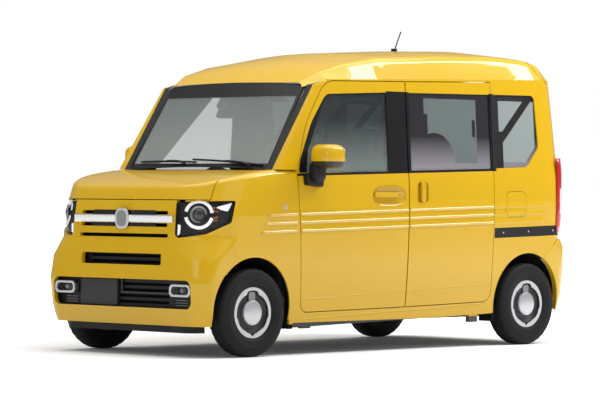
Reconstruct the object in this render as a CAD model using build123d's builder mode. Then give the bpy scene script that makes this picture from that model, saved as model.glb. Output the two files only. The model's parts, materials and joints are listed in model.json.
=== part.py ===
"""A small high-roof van of the kei class: body panels, doors, glass, lamps, cabin and running gear.

Millimetres. X points forward, Y to the left and Z up. The origin is on the ground, midway between the axles.
"""

import math
import os

from build123d import *

# Overall sizes
LENGTH = 3395.0
WIDTH = 1475.0
OVERHANG = 437.5
WHEELBASE = LENGTH - 2 * OVERHANG
TRACK = WIDTH - 165.0
FRONT_AXLE = WHEELBASE / 2
REAR_AXLE = -WHEELBASE / 2
NOSE = FRONT_AXLE + OVERHANG
TAIL = REAR_AXLE - OVERHANG
# Limits clear of the whole car, for cutting
BEYOND_NOSE, BEYOND_TAIL, BEYOND_SIDE, BEYOND_ROOF = NOSE + 100.0, TAIL - 100.0, WIDTH / 2 + 160.0, 2200.0

# Body side in cross section, given at the middle of the wheelbase. Its lines rise towards the rear.
WEDGE = 0.025
RIB_HEIGHT = 3.5
HALF_WIDTH = WIDTH / 2 - RIB_HEIGHT
SILL_LEVEL, SILL_Y = 190.0, HALF_WIDTH - 44.0
WAIST_LEVEL = 889.0
SHOULDER_LEVEL = 1083.0
BELT_LEVEL, BELT_Y = 1131.0, HALF_WIDTH - 11.0
GUTTER_LEVEL, GUTTER_Y = 1712.0, HALF_WIDTH - 46.5
SIDE_RADIUS = ((WAIST_LEVEL - SILL_LEVEL) ** 2 + (HALF_WIDTH - SILL_Y) ** 2) / (2 * (HALF_WIDTH - SILL_Y))

# Thicknesses and clearances
WALL = 40.0
TAIL_WALL = 44.0
PANEL = 28.0
ROOF_WALL = 24.0
GLASS = 5.0
SHUT_GAP = 5.0
SEAM = 0.6
SEAT = 0.3
# How far a hollow runs past the open end of its shell
OVERRUN = 10.0

# Where the straight body side ends at each corner, and the door edges
SIDE_FRONT = FRONT_AXLE + 40.0
SIDE_REAR = REAR_AXLE - 140.0
DOOR_FRONT_X = FRONT_AXLE - 355.0
PILLAR_X = -95.0
SLIDE_REAR_X = REAR_AXLE + 352.0
DOOR_DEPTH_Y = HALF_WIDTH - 92.0

# Wheels
TYRE_RADIUS = 268.5
RIM_RADIUS = 152.4
SPINDLE_RADIUS = 22.0
RUNNING = 0.05
ARCH_RADIUS = 323.0
ARCH_LEVEL = 285.0
WHEEL_Y = TRACK / 2

# Half sections, from the wheel's middle plane outwards along Y, then the radius
TYRE_PROFILE = [(-50.0, RIM_RADIUS), (-72.0, 190.0), (-70.0, 240.0), (-54.0, TYRE_RADIUS)]
WHEEL_PROFILE = [
    (-50.0, 143.0),
    (-50.0, RIM_RADIUS - SEAT),
    (50.0, RIM_RADIUS - SEAT),
    (50.0, 143.0),
    (38.0, 143.0),
    (38.0, 60.0),
    (55.0, 60.0),
    (55.0, 0.0),
    (45.0, 0.0),
    (45.0, SPINDLE_RADIUS + RUNNING),
    (-10.0, SPINDLE_RADIUS + RUNNING),
    (-10.0, 50.0),
    (30.0, 50.0),
    (30.0, 143.0),
]

# Corner outlines of the nose by height: z, distance behind the nose, corner radius
BONNET_SEAM = 950.0
NOSE_LEVELS = [
    (190.0, 35.5, 110.0),
    (300.0, 7.5, 105.0),
    (450.0, 0.0, 105.0),
    (600.0, 3.5, 165.0),
    (715.0, 21.5, 285.0),
    (850.0, 29.5, 270.0),
    (BONNET_SEAM + 10.0, 45.5, 330.0),
    (BONNET_SEAM + 200.0, 97.5, 345.0),
]
# Corner outlines of the tail by height: z, distance ahead of the tail, corner radius
TAIL_LOW_LEVELS = [
    (225.0, 25.5, 170.0),
    (560.0, 23.5, 180.0),
    (924.0, 29.5, 190.0),
    (1118.0, 34.5, 190.0),
]
TAIL_HIGH_LEVELS = [
    (1118.0, 34.5, 190.0),
    (1166.0, 37.5, 190.0),
    (1746.0, 93.5, 190.0),
]
BUMPER_TAIL_LEVELS = [
    (225.0, 37.5, 120.0),
    (330.0, 7.5, 120.0),
    (520.0, 0.0, 130.0),
    (640.0, 3.5, 140.0),
    (700.0, 21.5, 170.0),
]
# Roof cross sections: x, base z, base and shoulder distances in from the gutter,
# shoulder z, crown z, shoulder radius
ROOF_STATIONS = [
    (FRONT_AXLE - 500.0, 1644.0, 87.5, 127.5, 1664.0, 1678.0, 12.0),
    (FRONT_AXLE - 660.0, 1690.0, 11.5, 75.5, 1744.0, 1770.0, 30.0),
    (FRONT_AXLE - 860.0, 1702.0, 0.0, 57.5, 1798.0, 1832.0, 50.0),
    (100.0, 1709.5, 0.0, 47.5, 1842.0, 1890.0, 60.0),
    (-500.0, 1724.5, 0.0, 45.5, 1870.0, 1924.0, 60.0),
    (REAR_AXLE + 260.0, 1737.0, 0.0, 47.5, 1882.0, 1940.0, 60.0),
    (REAR_AXLE - 80.0, 1745.5, 1.5, 55.5, 1868.0, 1924.0, 60.0),
    (REAR_AXLE - 190.0, 1742.0, 9.5, 67.5, 1846.0, 1896.0, 55.0),
    (REAR_AXLE - 280.0, 1742.0, 47.5, 117.5, 1812.0, 1846.0, 45.0),
    (REAR_AXLE - 340.0, 1742.0, 147.5, 217.5, 1766.0, 1782.0, 8.0),
]
ROOF_LEAST_RADIUS = 4.0

# Side outlines: x, z, corner radius
FRONT_DOOR = [
    (DOOR_FRONT_X - 57.0, 257.0, 60.0),
    (DOOR_FRONT_X - 2.0, 1115.0, 150.0),
    (DOOR_FRONT_X - 90.0, 1420.0, 500.0),
    (DOOR_FRONT_X - 275.0, 1690.0, 150.0),
    (PILLAR_X, 1704.0, 8.0),
    (PILLAR_X, 271.0, 8.0),
]
SLIDE_DOOR = [
    (PILLAR_X, 271.0, 8.0),
    (PILLAR_X, 1704.0, 8.0),
    (SLIDE_REAR_X, 1722.0, 8.0),
    (SLIDE_REAR_X, 289.0, 75.0),
]
FRONT_WINDOW = [
    (DOOR_FRONT_X - 19.0, 1116.0, 10.0),
    (DOOR_FRONT_X - 31.0, 1190.0, 150.0),
    (DOOR_FRONT_X - 145.0, 1432.0, 350.0),
    (DOOR_FRONT_X - 280.0, 1606.0, 80.0),
    (PILLAR_X + 180.0, 1628.0, 12.0),
    (PILLAR_X + 180.0, 1130.0, 12.0),
]
SLIDE_WINDOW = [
    (PILLAR_X - 30.0, 1136.0, 12.0),
    (PILLAR_X - 30.0, 1631.0, 12.0),
    (SLIDE_REAR_X + 18.0, 1638.0, 12.0),
    (SLIDE_REAR_X + 18.0, 1155.0, 12.0),
]
QUARTER_WINDOW = [
    (SLIDE_REAR_X - 27.0, 1158.0, 12.0),
    (SLIDE_REAR_X - 27.0, 1639.0, 12.0),
    (REAR_AXLE - 78.0, 1642.0, 45.0),
    (REAR_AXLE - 104.0, 1300.0, 60.0),
    (REAR_AXLE + 15.0, 1170.0, 60.0),
]
FUEL_LID = [
    (REAR_AXLE + 238.0, 838.0, 45.0),
    (REAR_AXLE + 238.0, 1008.0, 45.0),
    (REAR_AXLE + 38.0, 1011.0, 45.0),
    (REAR_AXLE + 38.0, 841.0, 45.0),
]
FUEL_GAP = 3.0
GLASS_INSET = 8.0
# Raised ribs along the side: level, front end x
SIDE_RIBS = [(884.0, FRONT_AXLE - 95.0), (833.0, FRONT_AXLE - 68.0), (782.0, FRONT_AXLE - 44.0)]
RIB_WIDTH, RIB_ROOT, RIB_TOP = 24.0, 6.0, 10.0
RAIL_LEVEL, RAIL_HEIGHT, RAIL_DEPTH = 681.0, 66.0, 14.0
RAIL_FRONT, RAIL_REAR = SLIDE_REAR_X - 6.0, TAIL + 79.5
RAIL_ROWS = [
    (RAIL_FRONT, RAIL_LEVEL - WEDGE * RAIL_FRONT, 0.0),
    (RAIL_FRONT, RAIL_LEVEL - WEDGE * RAIL_FRONT + RAIL_HEIGHT, 0.0),
    (RAIL_REAR, RAIL_LEVEL - WEDGE * RAIL_REAR + RAIL_HEIGHT, 0.0),
    (RAIL_REAR, RAIL_LEVEL - WEDGE * RAIL_REAR, 0.0),
]

# Tail
TAILGATE_SEAM = [(REAR_AXLE - 75.0, 1866.0), (REAR_AXLE - 230.0, 1716.0)]
TAILGATE_HALF, TAILGATE_LOW = HALF_WIDTH - 134.0, 650.0
# Part of the roof that belongs to the tailgate: front x, low z, high z
TAILGATE_ROOF = (REAR_AXLE - 40.0, 1700.0, 2000.0)
REAR_GLASS_Z, REAR_GLASS_WIDTH = 1420.0, 2 * TAILGATE_HALF - 110.0
REAR_GLASS_HEIGHT, REAR_GLASS_CORNER = 470.0, 70.0
LAMP_FRONT_X, LAMP_LOW, LAMP_HIGH = TAIL + 137.5, 735.0, 1232.0
# Heights between which the rear quarter has a separate outer layer for the rail and the fuel lid
OUTER_LAYER_Z = (500.0, TAIL_LOW_LEVELS[-1][0])
# Rear bumper's outline from the side: x, z, corner radius
BUMPER_TAIL_ROWS = [
    (REAR_AXLE - 165.0, 100.0, 0.0),
    (REAR_AXLE - 165.0, 578.0, 0.0),
    (REAR_AXLE - 301.0, 692.0, 60.0),
    (BEYOND_TAIL, 692.0, 0.0),
    (BEYOND_TAIL, 100.0, 0.0),
]
BUMPER_TAIL_TOP = 720.0

# Front face
BONNET_HALF = HALF_WIDTH - 89.0
BONNET_REAR = FRONT_AXLE - 168.0
BONNET_LINE = [
    (FRONT_AXLE + 500.0, BONNET_SEAM + 38.0),
    (FRONT_AXLE + 140.0, BONNET_SEAM + 138.0),
    (FRONT_AXLE - 200.0, BONNET_SEAM + 184.0),
]
BONNET_EDGE = 42.0
BONNET_TOP = BONNET_SEAM + 350.0
GRILLE_LOW, GRILLE_HALF, GRILLE_CORNER = BONNET_SEAM - 235.0, HALF_WIDTH - 279.0, 6.0
BAR_Z, BAR_HEIGHT, BAR_HALF = BONNET_SEAM - 118.0, 46.0, GRILLE_HALF - 10.0
BAR_DEPTH, BAR_BACK_X, BAR_CHAMFER = 16.0, NOSE - 26.7, 6.0
# Slots of the grille panel: low z, high z, half length
GRILLE_SLOTS = [
    (BAR_Z + 26.0, BAR_Z + 48.0, GRILLE_HALF - 65.0),
    (BAR_Z - 48.0, BAR_Z - 25.0, GRILLE_HALF - 65.0),
    (GRILLE_LOW + 5.0, GRILLE_LOW + 27.0, GRILLE_HALF - 55.0),
]
SLOT_CORNER = 8.0
# Headlamp as seen from the front corner: distance across, height, corner radius
HEADLAMP = [
    (-848.0, BONNET_SEAM - 14.0, 15.0),
    (-492.0, BONNET_SEAM - 6.0, 12.0),
    (-517.0, BONNET_SEAM - 137.0, 25.0),
    (-669.0, BONNET_SEAM - 207.0, 120.0),
    (-858.0, BONNET_SEAM - 233.0, 25.0),
]
# Point on the corner's sight line from which the headlamp's outline is driven in, and how deep it goes
LAMP_SIGHT, LAMP_REACH = (NOSE + 202.5, HALF_WIDTH + 1166.0), 1500.0
INTAKE_HALF, INTAKE_LOW, INTAKE_HIGH, INTAKE_CORNER = HALF_WIDTH - 112.0, 294.0, 466.0, 45.0
SLIT_HALF, SLIT_LOW, SLIT_HIGH, SLIT_CORNER = HALF_WIDTH - 374.0, GRILLE_LOW - 162.0, GRILLE_LOW - 93.0, 12.0
FOG_Y, FOG_Z, FOG_WIDTH, FOG_HEIGHT = INTAKE_HALF - 100.0, 404.0, 190.0, 70.0
FOG_CORNER, FOG_DEPTH = 30.0, 45.0
# Black insert behind the bumper's openings: front face x, thickness, margin, slot height, slot end distance
INSERT_X, INSERT_DEPTH, INSERT_EDGE, SLOT, SLOT_END = NOSE - 55.5, 12.0, 14.0, 18.0, 40.0
INTAKE_SLOT_LENGTH = 2 * (FOG_Y - 142.0)
# Chin lip: low z, half width, rear and front x, corner radius
LIP_LOW, LIP_HALF = 148.0, HALF_WIDTH - 144.0
LIP_REAR, LIP_FRONT, LIP_CORNER = NOSE - 152.5, NOSE - 52.5, 90.0
# Front bumper's outline from the side: x, z, corner radius
BUMPER_ROWS = [
    (BEYOND_NOSE, 100.0, 0.0),
    (BEYOND_NOSE, BONNET_SEAM - 120.0, 0.0),
    (FRONT_AXLE + 214.0, BONNET_SEAM - 120.0, 0.0),
    (FRONT_AXLE + 214.0, BONNET_SEAM - 192.0, 60.0),
    (FRONT_AXLE + 158.0, 600.0, 0.0),
    (FRONT_AXLE + 158.0, 100.0, 0.0),
]
FENDER_INNER_Y = GRILLE_HALF + 60.0

# Panel for the number plate, off the middle, with its two holes
PLATE_Y, PLATE_Z, PLATE_WIDTH, PLATE_HEIGHT, PLATE_DEPTH = -238.0, 380.0, 334.0, 156.0, 18.0
PLATE_HOLE_Z, PLATE_HOLES, PLATE_HOLE_RADIUS = 430.0, 210.0, 3.0

# Windscreen: bottom and top corners, half widths, bow across, then how far its cutting block runs past them
SCREEN_FOOT = (FRONT_AXLE - 202.0, BONNET_SEAM + 178.0)
SCREEN_HEAD = (FRONT_AXLE - 544.0, 1660.0)
SCREEN_FOOT_HALF, SCREEN_HEAD_HALF = HALF_WIDTH - 106.0, HALF_WIDTH - 132.0
SCREEN_BOW, SCREEN_CORNER = 45.0, 40.0
SCREEN_SIDE_RUN, SCREEN_END_RUN, SCREEN_CUT = 40.0, 60.0, 400.0
COWL_X, COWL_Z = BONNET_LINE[2]
# Windscreen pillar from the side: x, z, corner radius
PILLAR_ROWS = [
    (DOOR_FRONT_X - 25.0, COWL_Z + SEAM, 0.0),
    (COWL_X + 6.0, COWL_Z + SEAM, 0.0),
    (SCREEN_HEAD[0], 1662.0, 0.0),
    (FRONT_AXLE - 660.0, 1692.0, 0.0),
    (FRONT_AXLE - 880.0, 1703.0, 0.0),
    (FRONT_AXLE - 880.0, 1600.0, 0.0),
]
# Everything ahead of the windscreen pillar's front edge
AHEAD_ROWS = [
    (COWL_X + 6.0, COWL_Z + SEAM, 0.0),
    (BEYOND_NOSE, COWL_Z + SEAM, 0.0),
    (BEYOND_NOSE, BEYOND_ROOF, 0.0),
    (FRONT_AXLE - 660.0, BEYOND_ROOF, 0.0),
    (FRONT_AXLE - 660.0, 1692.0, 0.0),
    (SCREEN_HEAD[0], 1662.0, 0.0),
]
PILLAR_INNER_Y = HALF_WIDTH - 149.0

# Mirrors: rear face, its centre in y and z and its size, taper towards the front, then the stalk and the foot
# as limits along x, y and z
MIRROR_REAR_X, MIRROR_CENTRE = DOOR_FRONT_X - 225.0, (HALF_WIDTH + 116.0, 1218.0)
MIRROR_WIDTH, MIRROR_HEIGHT, MIRROR_DEPTH, MIRROR_CORNER = 160.0, 132.0, 140.0, 34.0
MIRROR_TAPER, MIRROR_NOSE = 9.0, 9.0
MIRROR_LIMITS = [
    ((DOOR_FRONT_X - 195.0, DOOR_FRONT_X - 115.0), (HALF_WIDTH + 16.0, HALF_WIDTH + 66.0), (1085.0, 1190.0)),
    ((DOOR_FRONT_X - 205.0, DOOR_FRONT_X - 105.0), (HALF_WIDTH - 34.0, HALF_WIDTH + 56.0), (1072.0, 1118.0)),
]
# Antenna: foot x and z, foot radius and height, rod radius, lean and length
ANTENNA_FOOT, ANTENNA_FOOT_RADIUS, ANTENNA_FOOT_HEIGHT = (-725.0, 1931.0), 20.0, 40.0
ANTENNA_RADIUS, ANTENNA_LEAN, ANTENNA_LENGTH = 4.0, 25.7, 148.0

# Floor and cabin
FLOOR_Z, SHEET = 290.0, 22.0
FLOOR_LOW = FLOOR_Z - SHEET
LOAD_FLOOR_Z, LOAD_STEP_X = 520.0, REAR_AXLE + 410.0
CABIN_HALF, DASH_HALF = HALF_WIDTH - 94.0, HALF_WIDTH - 135.0
RAIL_INNER_Y = HALF_WIDTH - 134.0
BETWEEN_WHEELS = WHEEL_Y - 240.0
FIREWALL_X = FRONT_AXLE - 250.0
FRONT_FRAME_X, FRAME_BAR = NOSE - 97.5, 40.0
STRUT_TOP = BONNET_SEAM - 50.0
JACK_PADS = (FRONT_AXLE - 480.0, REAR_AXLE + 500.0)
JACK_PAD_Z, JACK_PAD_HALF, JACK_PAD_TOP = 160.0, 40.0, 240.0
JACK_PAD_Y = (HALF_WIDTH - 79.0, HALF_WIDTH - 49.0)
CANTRAIL_Y, CANTRAIL_Z = HALF_WIDTH - 114.0, 1668.0
DOOR_STOPS, DOOR_STOP_RADIUS = (250.0, -500.0), 9.0
DOOR_PILLAR_HALF, DOOR_PILLAR_TOP = 35.0, 1680.0
# Stiffeners inside the left body side: rear x, front x, inner y, outer y, low z, high z
SIDE_BOXES = [
    (REAR_AXLE + 260.0, FRONT_AXLE - 620.0, RAIL_INNER_Y, CABIN_HALF, 1640.0, 1694.0),
    (REAR_AXLE + 260.0, REAR_AXLE + 335.0, RAIL_INNER_Y, HALF_WIDTH - 54.0, 1640.0, 1720.0),
    (DOOR_FRONT_X - 45.0, FRONT_AXLE - 260.0, RAIL_INNER_Y, HALF_WIDTH - 74.0, 200.0, COWL_Z - PANEL - SEAM),
    (DOOR_FRONT_X - 45.0, FRONT_AXLE - 260.0, RAIL_INNER_Y, CABIN_HALF, 200.0, COWL_Z + 50.0),
]
# Floor structure across the car: rear x, front x, half width, low z, high z
FLOOR_BOXES = [
    (LOAD_STEP_X, DOOR_FRONT_X - 46.0, CABIN_HALF, FLOOR_LOW, FLOOR_Z),
    (DOOR_FRONT_X - 55.0, FRONT_AXLE - 320.0, DASH_HALF, FLOOR_LOW, FLOOR_Z),
    (FRONT_AXLE - 330.0, FIREWALL_X, BETWEEN_WHEELS, FLOOR_LOW, FLOOR_Z),
    (LOAD_STEP_X - SHEET, LOAD_STEP_X, CABIN_HALF, FLOOR_LOW, LOAD_FLOOR_Z),
    (LOAD_STEP_X - 70.0, LOAD_STEP_X, CABIN_HALF, LOAD_FLOOR_Z - SHEET, LOAD_FLOOR_Z),
    (TAIL + 57.5, LOAD_STEP_X, BETWEEN_WHEELS - 10.0, LOAD_FLOOR_Z - SHEET, LOAD_FLOOR_Z),
    (TAIL + 57.5, TAIL + 77.5, TAILGATE_HALF - 20.0, 400.0, 640.0),
    (FIREWALL_X - SHEET, FIREWALL_X, BETWEEN_WHEELS, FLOOR_LOW, 700.0),
    (FIREWALL_X - SHEET, FIREWALL_X, DASH_HALF, 640.0, 1100.0),
    (FRONT_FRAME_X - FRAME_BAR, FRONT_FRAME_X, GRILLE_HALF + 25.0, BONNET_SEAM - 75.0, BONNET_SEAM - 35.0),
    (FRONT_FRAME_X, INSERT_X - INSERT_DEPTH - SEAT, GRILLE_HALF - 35.0, 480.0, 530.0),
]
# Floor structure on each side: rear x, front x, inner y, outer y, low z, high z
FLOOR_PAIRS = [
    (DOOR_FRONT_X - 46.0, LOAD_STEP_X - 9.0, CABIN_HALF - 44.0, CABIN_HALF, 200.0, FLOOR_LOW),
    (TAIL + 70.2, TAIL + 85.5, TAILGATE_HALF - 220.0, TAILGATE_HALF - 180.0, 600.0, 700.0),
    (FIREWALL_X - SHEET, FRONT_FRAME_X, 350.0, 400.0, 320.0, 410.0),
    (FRONT_FRAME_X - FRAME_BAR, FRONT_FRAME_X, 350.0, 400.0, 320.0, BONNET_SEAM - 50.0),
    (FIREWALL_X - SHEET, FRONT_AXLE + 60.0, 440.0, 560.0, STRUT_TOP + SEAM, STRUT_TOP + 30.0),
]
# Rubbers that the bonnet closes on: x and y limits, low and high z before they are cut to the bonnet
BONNET_STOP = ((NOSE - 127.5, NOSE - 107.5), (290.0, 310.0), (BONNET_SEAM - 50.0, BONNET_SEAM + 150.0))
# Rear wheel housings: inner y, depth, sheet at the rim, gap to the opening, wall, lowest z
WHEELHOUSE_Y, WHEELHOUSE_DEPTH, WHEELHOUSE_SHEET = WHEEL_Y - 255.0, 250.0, 30.0
WHEELHOUSE_GAP, WHEELHOUSE_WALL, WHEELHOUSE_LOW = 8.0, 15.0, 330.0
DASH_PROFILE = [
    (FRONT_AXLE - 540.0, 760.0),
    (FRONT_AXLE - 273.0, 700.0),
    (FRONT_AXLE - 273.0, 1085.0),
    (FRONT_AXLE - 500.0, 1060.0),
    (FRONT_AXLE - 570.0, 960.0),
]
DASH_CORNER = 25.0
# Steering wheel: centre, radius, rim thickness, spoke width and depth,
# boss radius and depth, column radius and length
STEERING_CENTRE, STEERING_RADIUS, RIM_THICKNESS = (FRONT_AXLE - 755.0, -330.0, 985.0), 180.0, 15.0
SPOKE_WIDTH, SPOKE_DEPTH, BOSS_RADIUS, BOSS_DEPTH = 40.0, 16.0, 70.0, 40.0
COLUMN_RADIUS, COLUMN_LENGTH = 28.0, 260.0
STEERING_AXIS = (-0.88, 0.0, 0.47)
# Behind the dashboard's face, where the column is cut off
COLUMN_CUT = ((FRONT_AXLE - 560.0, FRONT_AXLE - 270.0), (-DASH_HALF, DASH_HALF), (600.0, 1100.0))
# Seats: middle y, half width, x at the backrest, cushion length, middles of the head rests
SEAT_PLACES = [
    (330.0, 235.0, 0.0, 510.0, (330.0,)),
    (-330.0, 235.0, 0.0, 510.0, (-330.0,)),
    (0.0, CABIN_HALF - 80.0, REAR_AXLE + 430.0, 460.0, (-280.0, 280.0)),
]
SEAT_FRAME_INSET, SEAT_FRAME_TOP, CUSHION_LOW, CUSHION_TOP, CUSHION_BACK = 60.0, 500.0, 490.0, 640.0, 600.0
# Backrest and head rest from the side: distance ahead of the backrest's x, height
BACKREST = [(-20.0, 560.0), (110.0, 560.0), (10.0, 1230.0), (-90.0, 1230.0)]
HEAD_REST = [(-90.0, 1215.0), (-5.0, 1215.0), (-25.0, 1400.0), (-105.0, 1400.0)]
BACKREST_INSET, HEAD_REST_HALF, SEAT_CORNER, HEAD_REST_CORNER = 15.0, 130.0, 45.0, 28.0

# Running gear
ENGINE_X, ENGINE_HALF = (FRONT_AXLE - 140.0, FRONT_AXLE + 220.0), 280.0
ENGINE_Z = (350.0, BONNET_SEAM - 100.0)
KINGPIN_Y, KINGPIN_RADIUS, KINGPIN_HEIGHT = WHEEL_Y - 55.0, 18.0, 165.0
SPINDLE_END, SPINDLE_ROOT = WHEEL_Y + 35.0, WHEEL_Y - 65.0
KNUCKLE_HALF, KNUCKLE_DEPTH, KNUCKLE_TOP = 25.0, 28.0, 350.0
ARM_TOP, ARM_SHEET, ARM_HALF, ARM_INNER_Y, ARM_OUTER_Y = 185.0, 25.0, 20.0, 380.0, WHEEL_Y - 30.0
ARM_FOOT_HALF, ARM_FOOT_Y, ARM_FOOT_TOP = 35.0, (370.0, 420.0), 300.0
STRUT_Y, STRUT_RADIUS, STRUT_SINK = WHEEL_Y - 155.0, 28.0, 10.0
# Cross member in two layers: half length, half width, low z, high z
CROSS_MEMBER = [(65.0, 420.0, 255.0, 320.0 - SEAM), (65.0, 340.0, 300.0, 350.0 - SEAM)]
AXLE_RADIUS = 35.0
TRAILING_ARM_Y, TRAILING_ARM_Z = (470.0, 510.0), (240.0, 290.0)
TRAILING_ARM_FRONT, TRAILING_ARM_FOOT = REAR_AXLE + 375.0, 20.0
SPRING_Y, SPRING_RADIUS = 350.0, 45.0
SPRING_TOP = LOAD_FLOOR_Z - SHEET - SEAM
TANK_X, TANK_Y, TANK_LOW, TANK_CORNER = (REAR_AXLE + 500.0, REAR_AXLE + 960.0), (-420.0, 150.0), 178.0, 50.0
# Exhaust: start, turn about X, Y and Z, radius, length
PIPE_FRONT, PIPE_REAR = FRONT_AXLE - 110.0, REAR_AXLE - 160.0
EXHAUST = [
    ((PIPE_FRONT, 250.0, 190.0), (0, 0, 0), 20.0, 180.0),
    ((PIPE_FRONT, 250.0, 190.0), (0, -90, 0), 20.0, PIPE_FRONT - PIPE_REAR),
    ((PIPE_REAR, 250.0, 190.0), (0, -36, 0), 20.0, 130.0),
    ((PIPE_REAR - 80.0, 60.0, 320.0), (-90, 0, 0), 70.0, 300.0),
    ((PIPE_REAR - 80.0, 150.0, 270.0), (0, -118, 0), 18.0, 110.0),
]
# Where the front pipe meets the engine
PIPE_CUT = ((PIPE_FRONT - 50.0, PIPE_FRONT + 50.0), (200.0, 300.0), (ENGINE_Z[0] - SEAM, ENGINE_Z[0] + 150.0))


def side_y(z, x):
    """Outer half width of the body side at a height and a place along the car."""
    level = z + WEDGE * x
    if level <= SHOULDER_LEVEL:
        return HALF_WIDTH - SIDE_RADIUS + math.sqrt(SIDE_RADIUS**2 - (level - WAIST_LEVEL) ** 2)
    if level <= BELT_LEVEL:
        share = (level - SHOULDER_LEVEL) / (BELT_LEVEL - SHOULDER_LEVEL)
        top_of_arc = side_y(SHOULDER_LEVEL, 0)
        return top_of_arc + share * (BELT_Y - top_of_arc)
    share = (level - BELT_LEVEL) / (GUTTER_LEVEL - BELT_LEVEL)
    return BELT_Y + share * (GUTTER_Y - BELT_Y)


def side_prism(rows, shrink=0.0, near=WIDTH / 5):
    """A block across the left side of the car with the given side outline."""
    with BuildPart() as block:
        with BuildSketch(Plane.XZ.offset(-near)):
            with BuildLine():
                FilletPolyline(*[(x, z) for x, z, _ in rows], radius=[r for _, _, r in rows], close=True)
            make_face()
            if shrink:
                offset(amount=-shrink, kind=Kind.INTERSECTION, mode=Mode.REPLACE)
        extrude(amount=-(BEYOND_SIDE - near))
    return block.part


def front_prism(half, z_low, z_high, radius):
    """A block through the nose with a rounded rectangle as its front outline."""
    with BuildPart() as block:
        with BuildSketch(Plane.YZ.offset(SIDE_FRONT)):
            with Locations((0, (z_low + z_high) / 2)):
                RectangleRounded(2 * half, z_high - z_low, radius)
        extrude(amount=BEYOND_NOSE - SIDE_FRONT)
    return block.part


def block(x, y, z):
    """A plain box between pairs of limits."""
    with BuildPart() as box:
        with Locations(((x[0] + x[1]) / 2, (y[0] + y[1]) / 2, (z[0] + z[1]) / 2)):
            Box(abs(x[1] - x[0]), abs(y[1] - y[0]), abs(z[1] - z[0]))
    return box.part


def across_block(outline, radius, middle_y, half):
    """A rounded side outline carried across the car."""
    with BuildPart() as body:
        with BuildSketch(Plane.XZ.offset(-middle_y - half)):
            with BuildLine():
                FilletPolyline(*outline, radius=radius, close=True)
            make_face()
        extrude(amount=2 * half)
    return body.part


def plan_loft(rows, end_x, start_x, inset):
    """A body from plan outlines by height, closed at start_x, with rounded corners at the far end."""
    inwards = -math.copysign(1, end_x)
    with BuildPart() as body:
        for z, back, radius in rows:
            half = side_y(z, (start_x + end_x + inwards * back) / 2) - inset
            tip = end_x + inwards * (back + inset)
            with BuildSketch(Plane.XY.offset(z)):
                with BuildLine():
                    FilletPolyline(
                        (start_x, -half),
                        (tip, -half),
                        (tip, half),
                        (start_x, half),
                        radius=[0, radius - inset, radius - inset, 0],
                        close=True,
                    )
                make_face()
        loft(ruled=True)
    return body.part


def roof_loft(rows, inset):
    """The roof from cross sections along the car."""
    with BuildPart() as body:
        for x, base, base_in, shoulder_in, shoulder_z, crown_z, radius in rows:
            half = GUTTER_Y - base_in
            shoulder = GUTTER_Y - shoulder_in
            with BuildSketch(Plane.YZ.offset(x)) as section:
                with BuildLine():
                    Polyline(
                        (-shoulder + inset, shoulder_z - inset),
                        (-half + inset, base + SEAM - 2 * inset),
                        (half - inset, base + SEAM - 2 * inset),
                        (shoulder - inset, shoulder_z - inset),
                    )
                    ThreePointArc(
                        (shoulder - inset, shoulder_z - inset),
                        (0, crown_z - inset),
                        (-shoulder + inset, shoulder_z - inset),
                    )
                make_face()
                corners = section.vertices().group_by(Axis.Y)[-1]
                fillet(corners, max(radius - inset, ROOF_LEAST_RADIUS))
        loft(ruled=True)
    return body.part


def screen_block(depth_out, depth_in, grow):
    """The windscreen's bowed sheet, from depth_in behind its face to depth_out before it."""
    rise = math.hypot(SCREEN_HEAD[0] - SCREEN_FOOT[0], SCREEN_HEAD[1] - SCREEN_FOOT[1])
    up = Vector((SCREEN_HEAD[0] - SCREEN_FOOT[0]) / rise, 0, (SCREEN_HEAD[1] - SCREEN_FOOT[1]) / rise)
    foot = Vector(SCREEN_FOOT[0], 0, SCREEN_FOOT[1])
    half = SCREEN_FOOT_HALF + SCREEN_SIDE_RUN
    across = Plane(origin=foot - up * SCREEN_END_RUN, x_dir=(0, 1, 0), z_dir=up)
    face = Plane(origin=foot, x_dir=(0, 1, 0), z_dir=Vector(up.Z, 0, -up.X))
    with BuildPart() as sheet:
        with BuildSketch(across):
            with BuildLine():
                ThreePointArc((-half, -depth_out), (0, -SCREEN_BOW - depth_out), (half, -depth_out))
                Line((half, -depth_out), (half, depth_in))
                ThreePointArc((half, depth_in), (0, -SCREEN_BOW + depth_in), (-half, depth_in))
                Line((-half, depth_in), (-half, -depth_out))
            make_face()
        extrude(amount=rise + 2 * SCREEN_END_RUN)
        with BuildSketch(face):
            with BuildLine():
                FilletPolyline(
                    (-SCREEN_FOOT_HALF - grow, -grow),
                    (SCREEN_FOOT_HALF + grow, -grow),
                    (SCREEN_HEAD_HALF + grow, rise + grow),
                    (-SCREEN_HEAD_HALF - grow, rise + grow),
                    radius=SCREEN_CORNER,
                    close=True,
                )
            make_face()
        extrude(amount=SCREEN_CUT, both=True, mode=Mode.INTERSECT)
    return sheet.part


def side_solid(inset):
    """The left half of the car inside its side surface, less an inset, between the two corners."""
    drop = WEDGE * SIDE_FRONT
    levels = (SHOULDER_LEVEL, BELT_LEVEL, GUTTER_LEVEL)
    upper = [(side_y(level, 0) - inset, level - drop) for level in levels]
    middle = (SILL_LEVEL + SHOULDER_LEVEL) / 2
    sill = (SILL_Y - inset, SILL_LEVEL - drop)
    with BuildPart() as half:
        with BuildSketch(Plane.YZ.offset(SIDE_FRONT)):
            with BuildLine():
                ThreePointArc(sill, (side_y(middle, 0) - inset, middle - drop), upper[0])
                Polyline(*upper, (0, upper[2][1]), (0, SILL_LEVEL - drop), sill)
            make_face()
        extrude(amount=(SIDE_FRONT - SIDE_REAR) * math.hypot(1, WEDGE), dir=(-1, 0, WEDGE))
    return half.part


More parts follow.
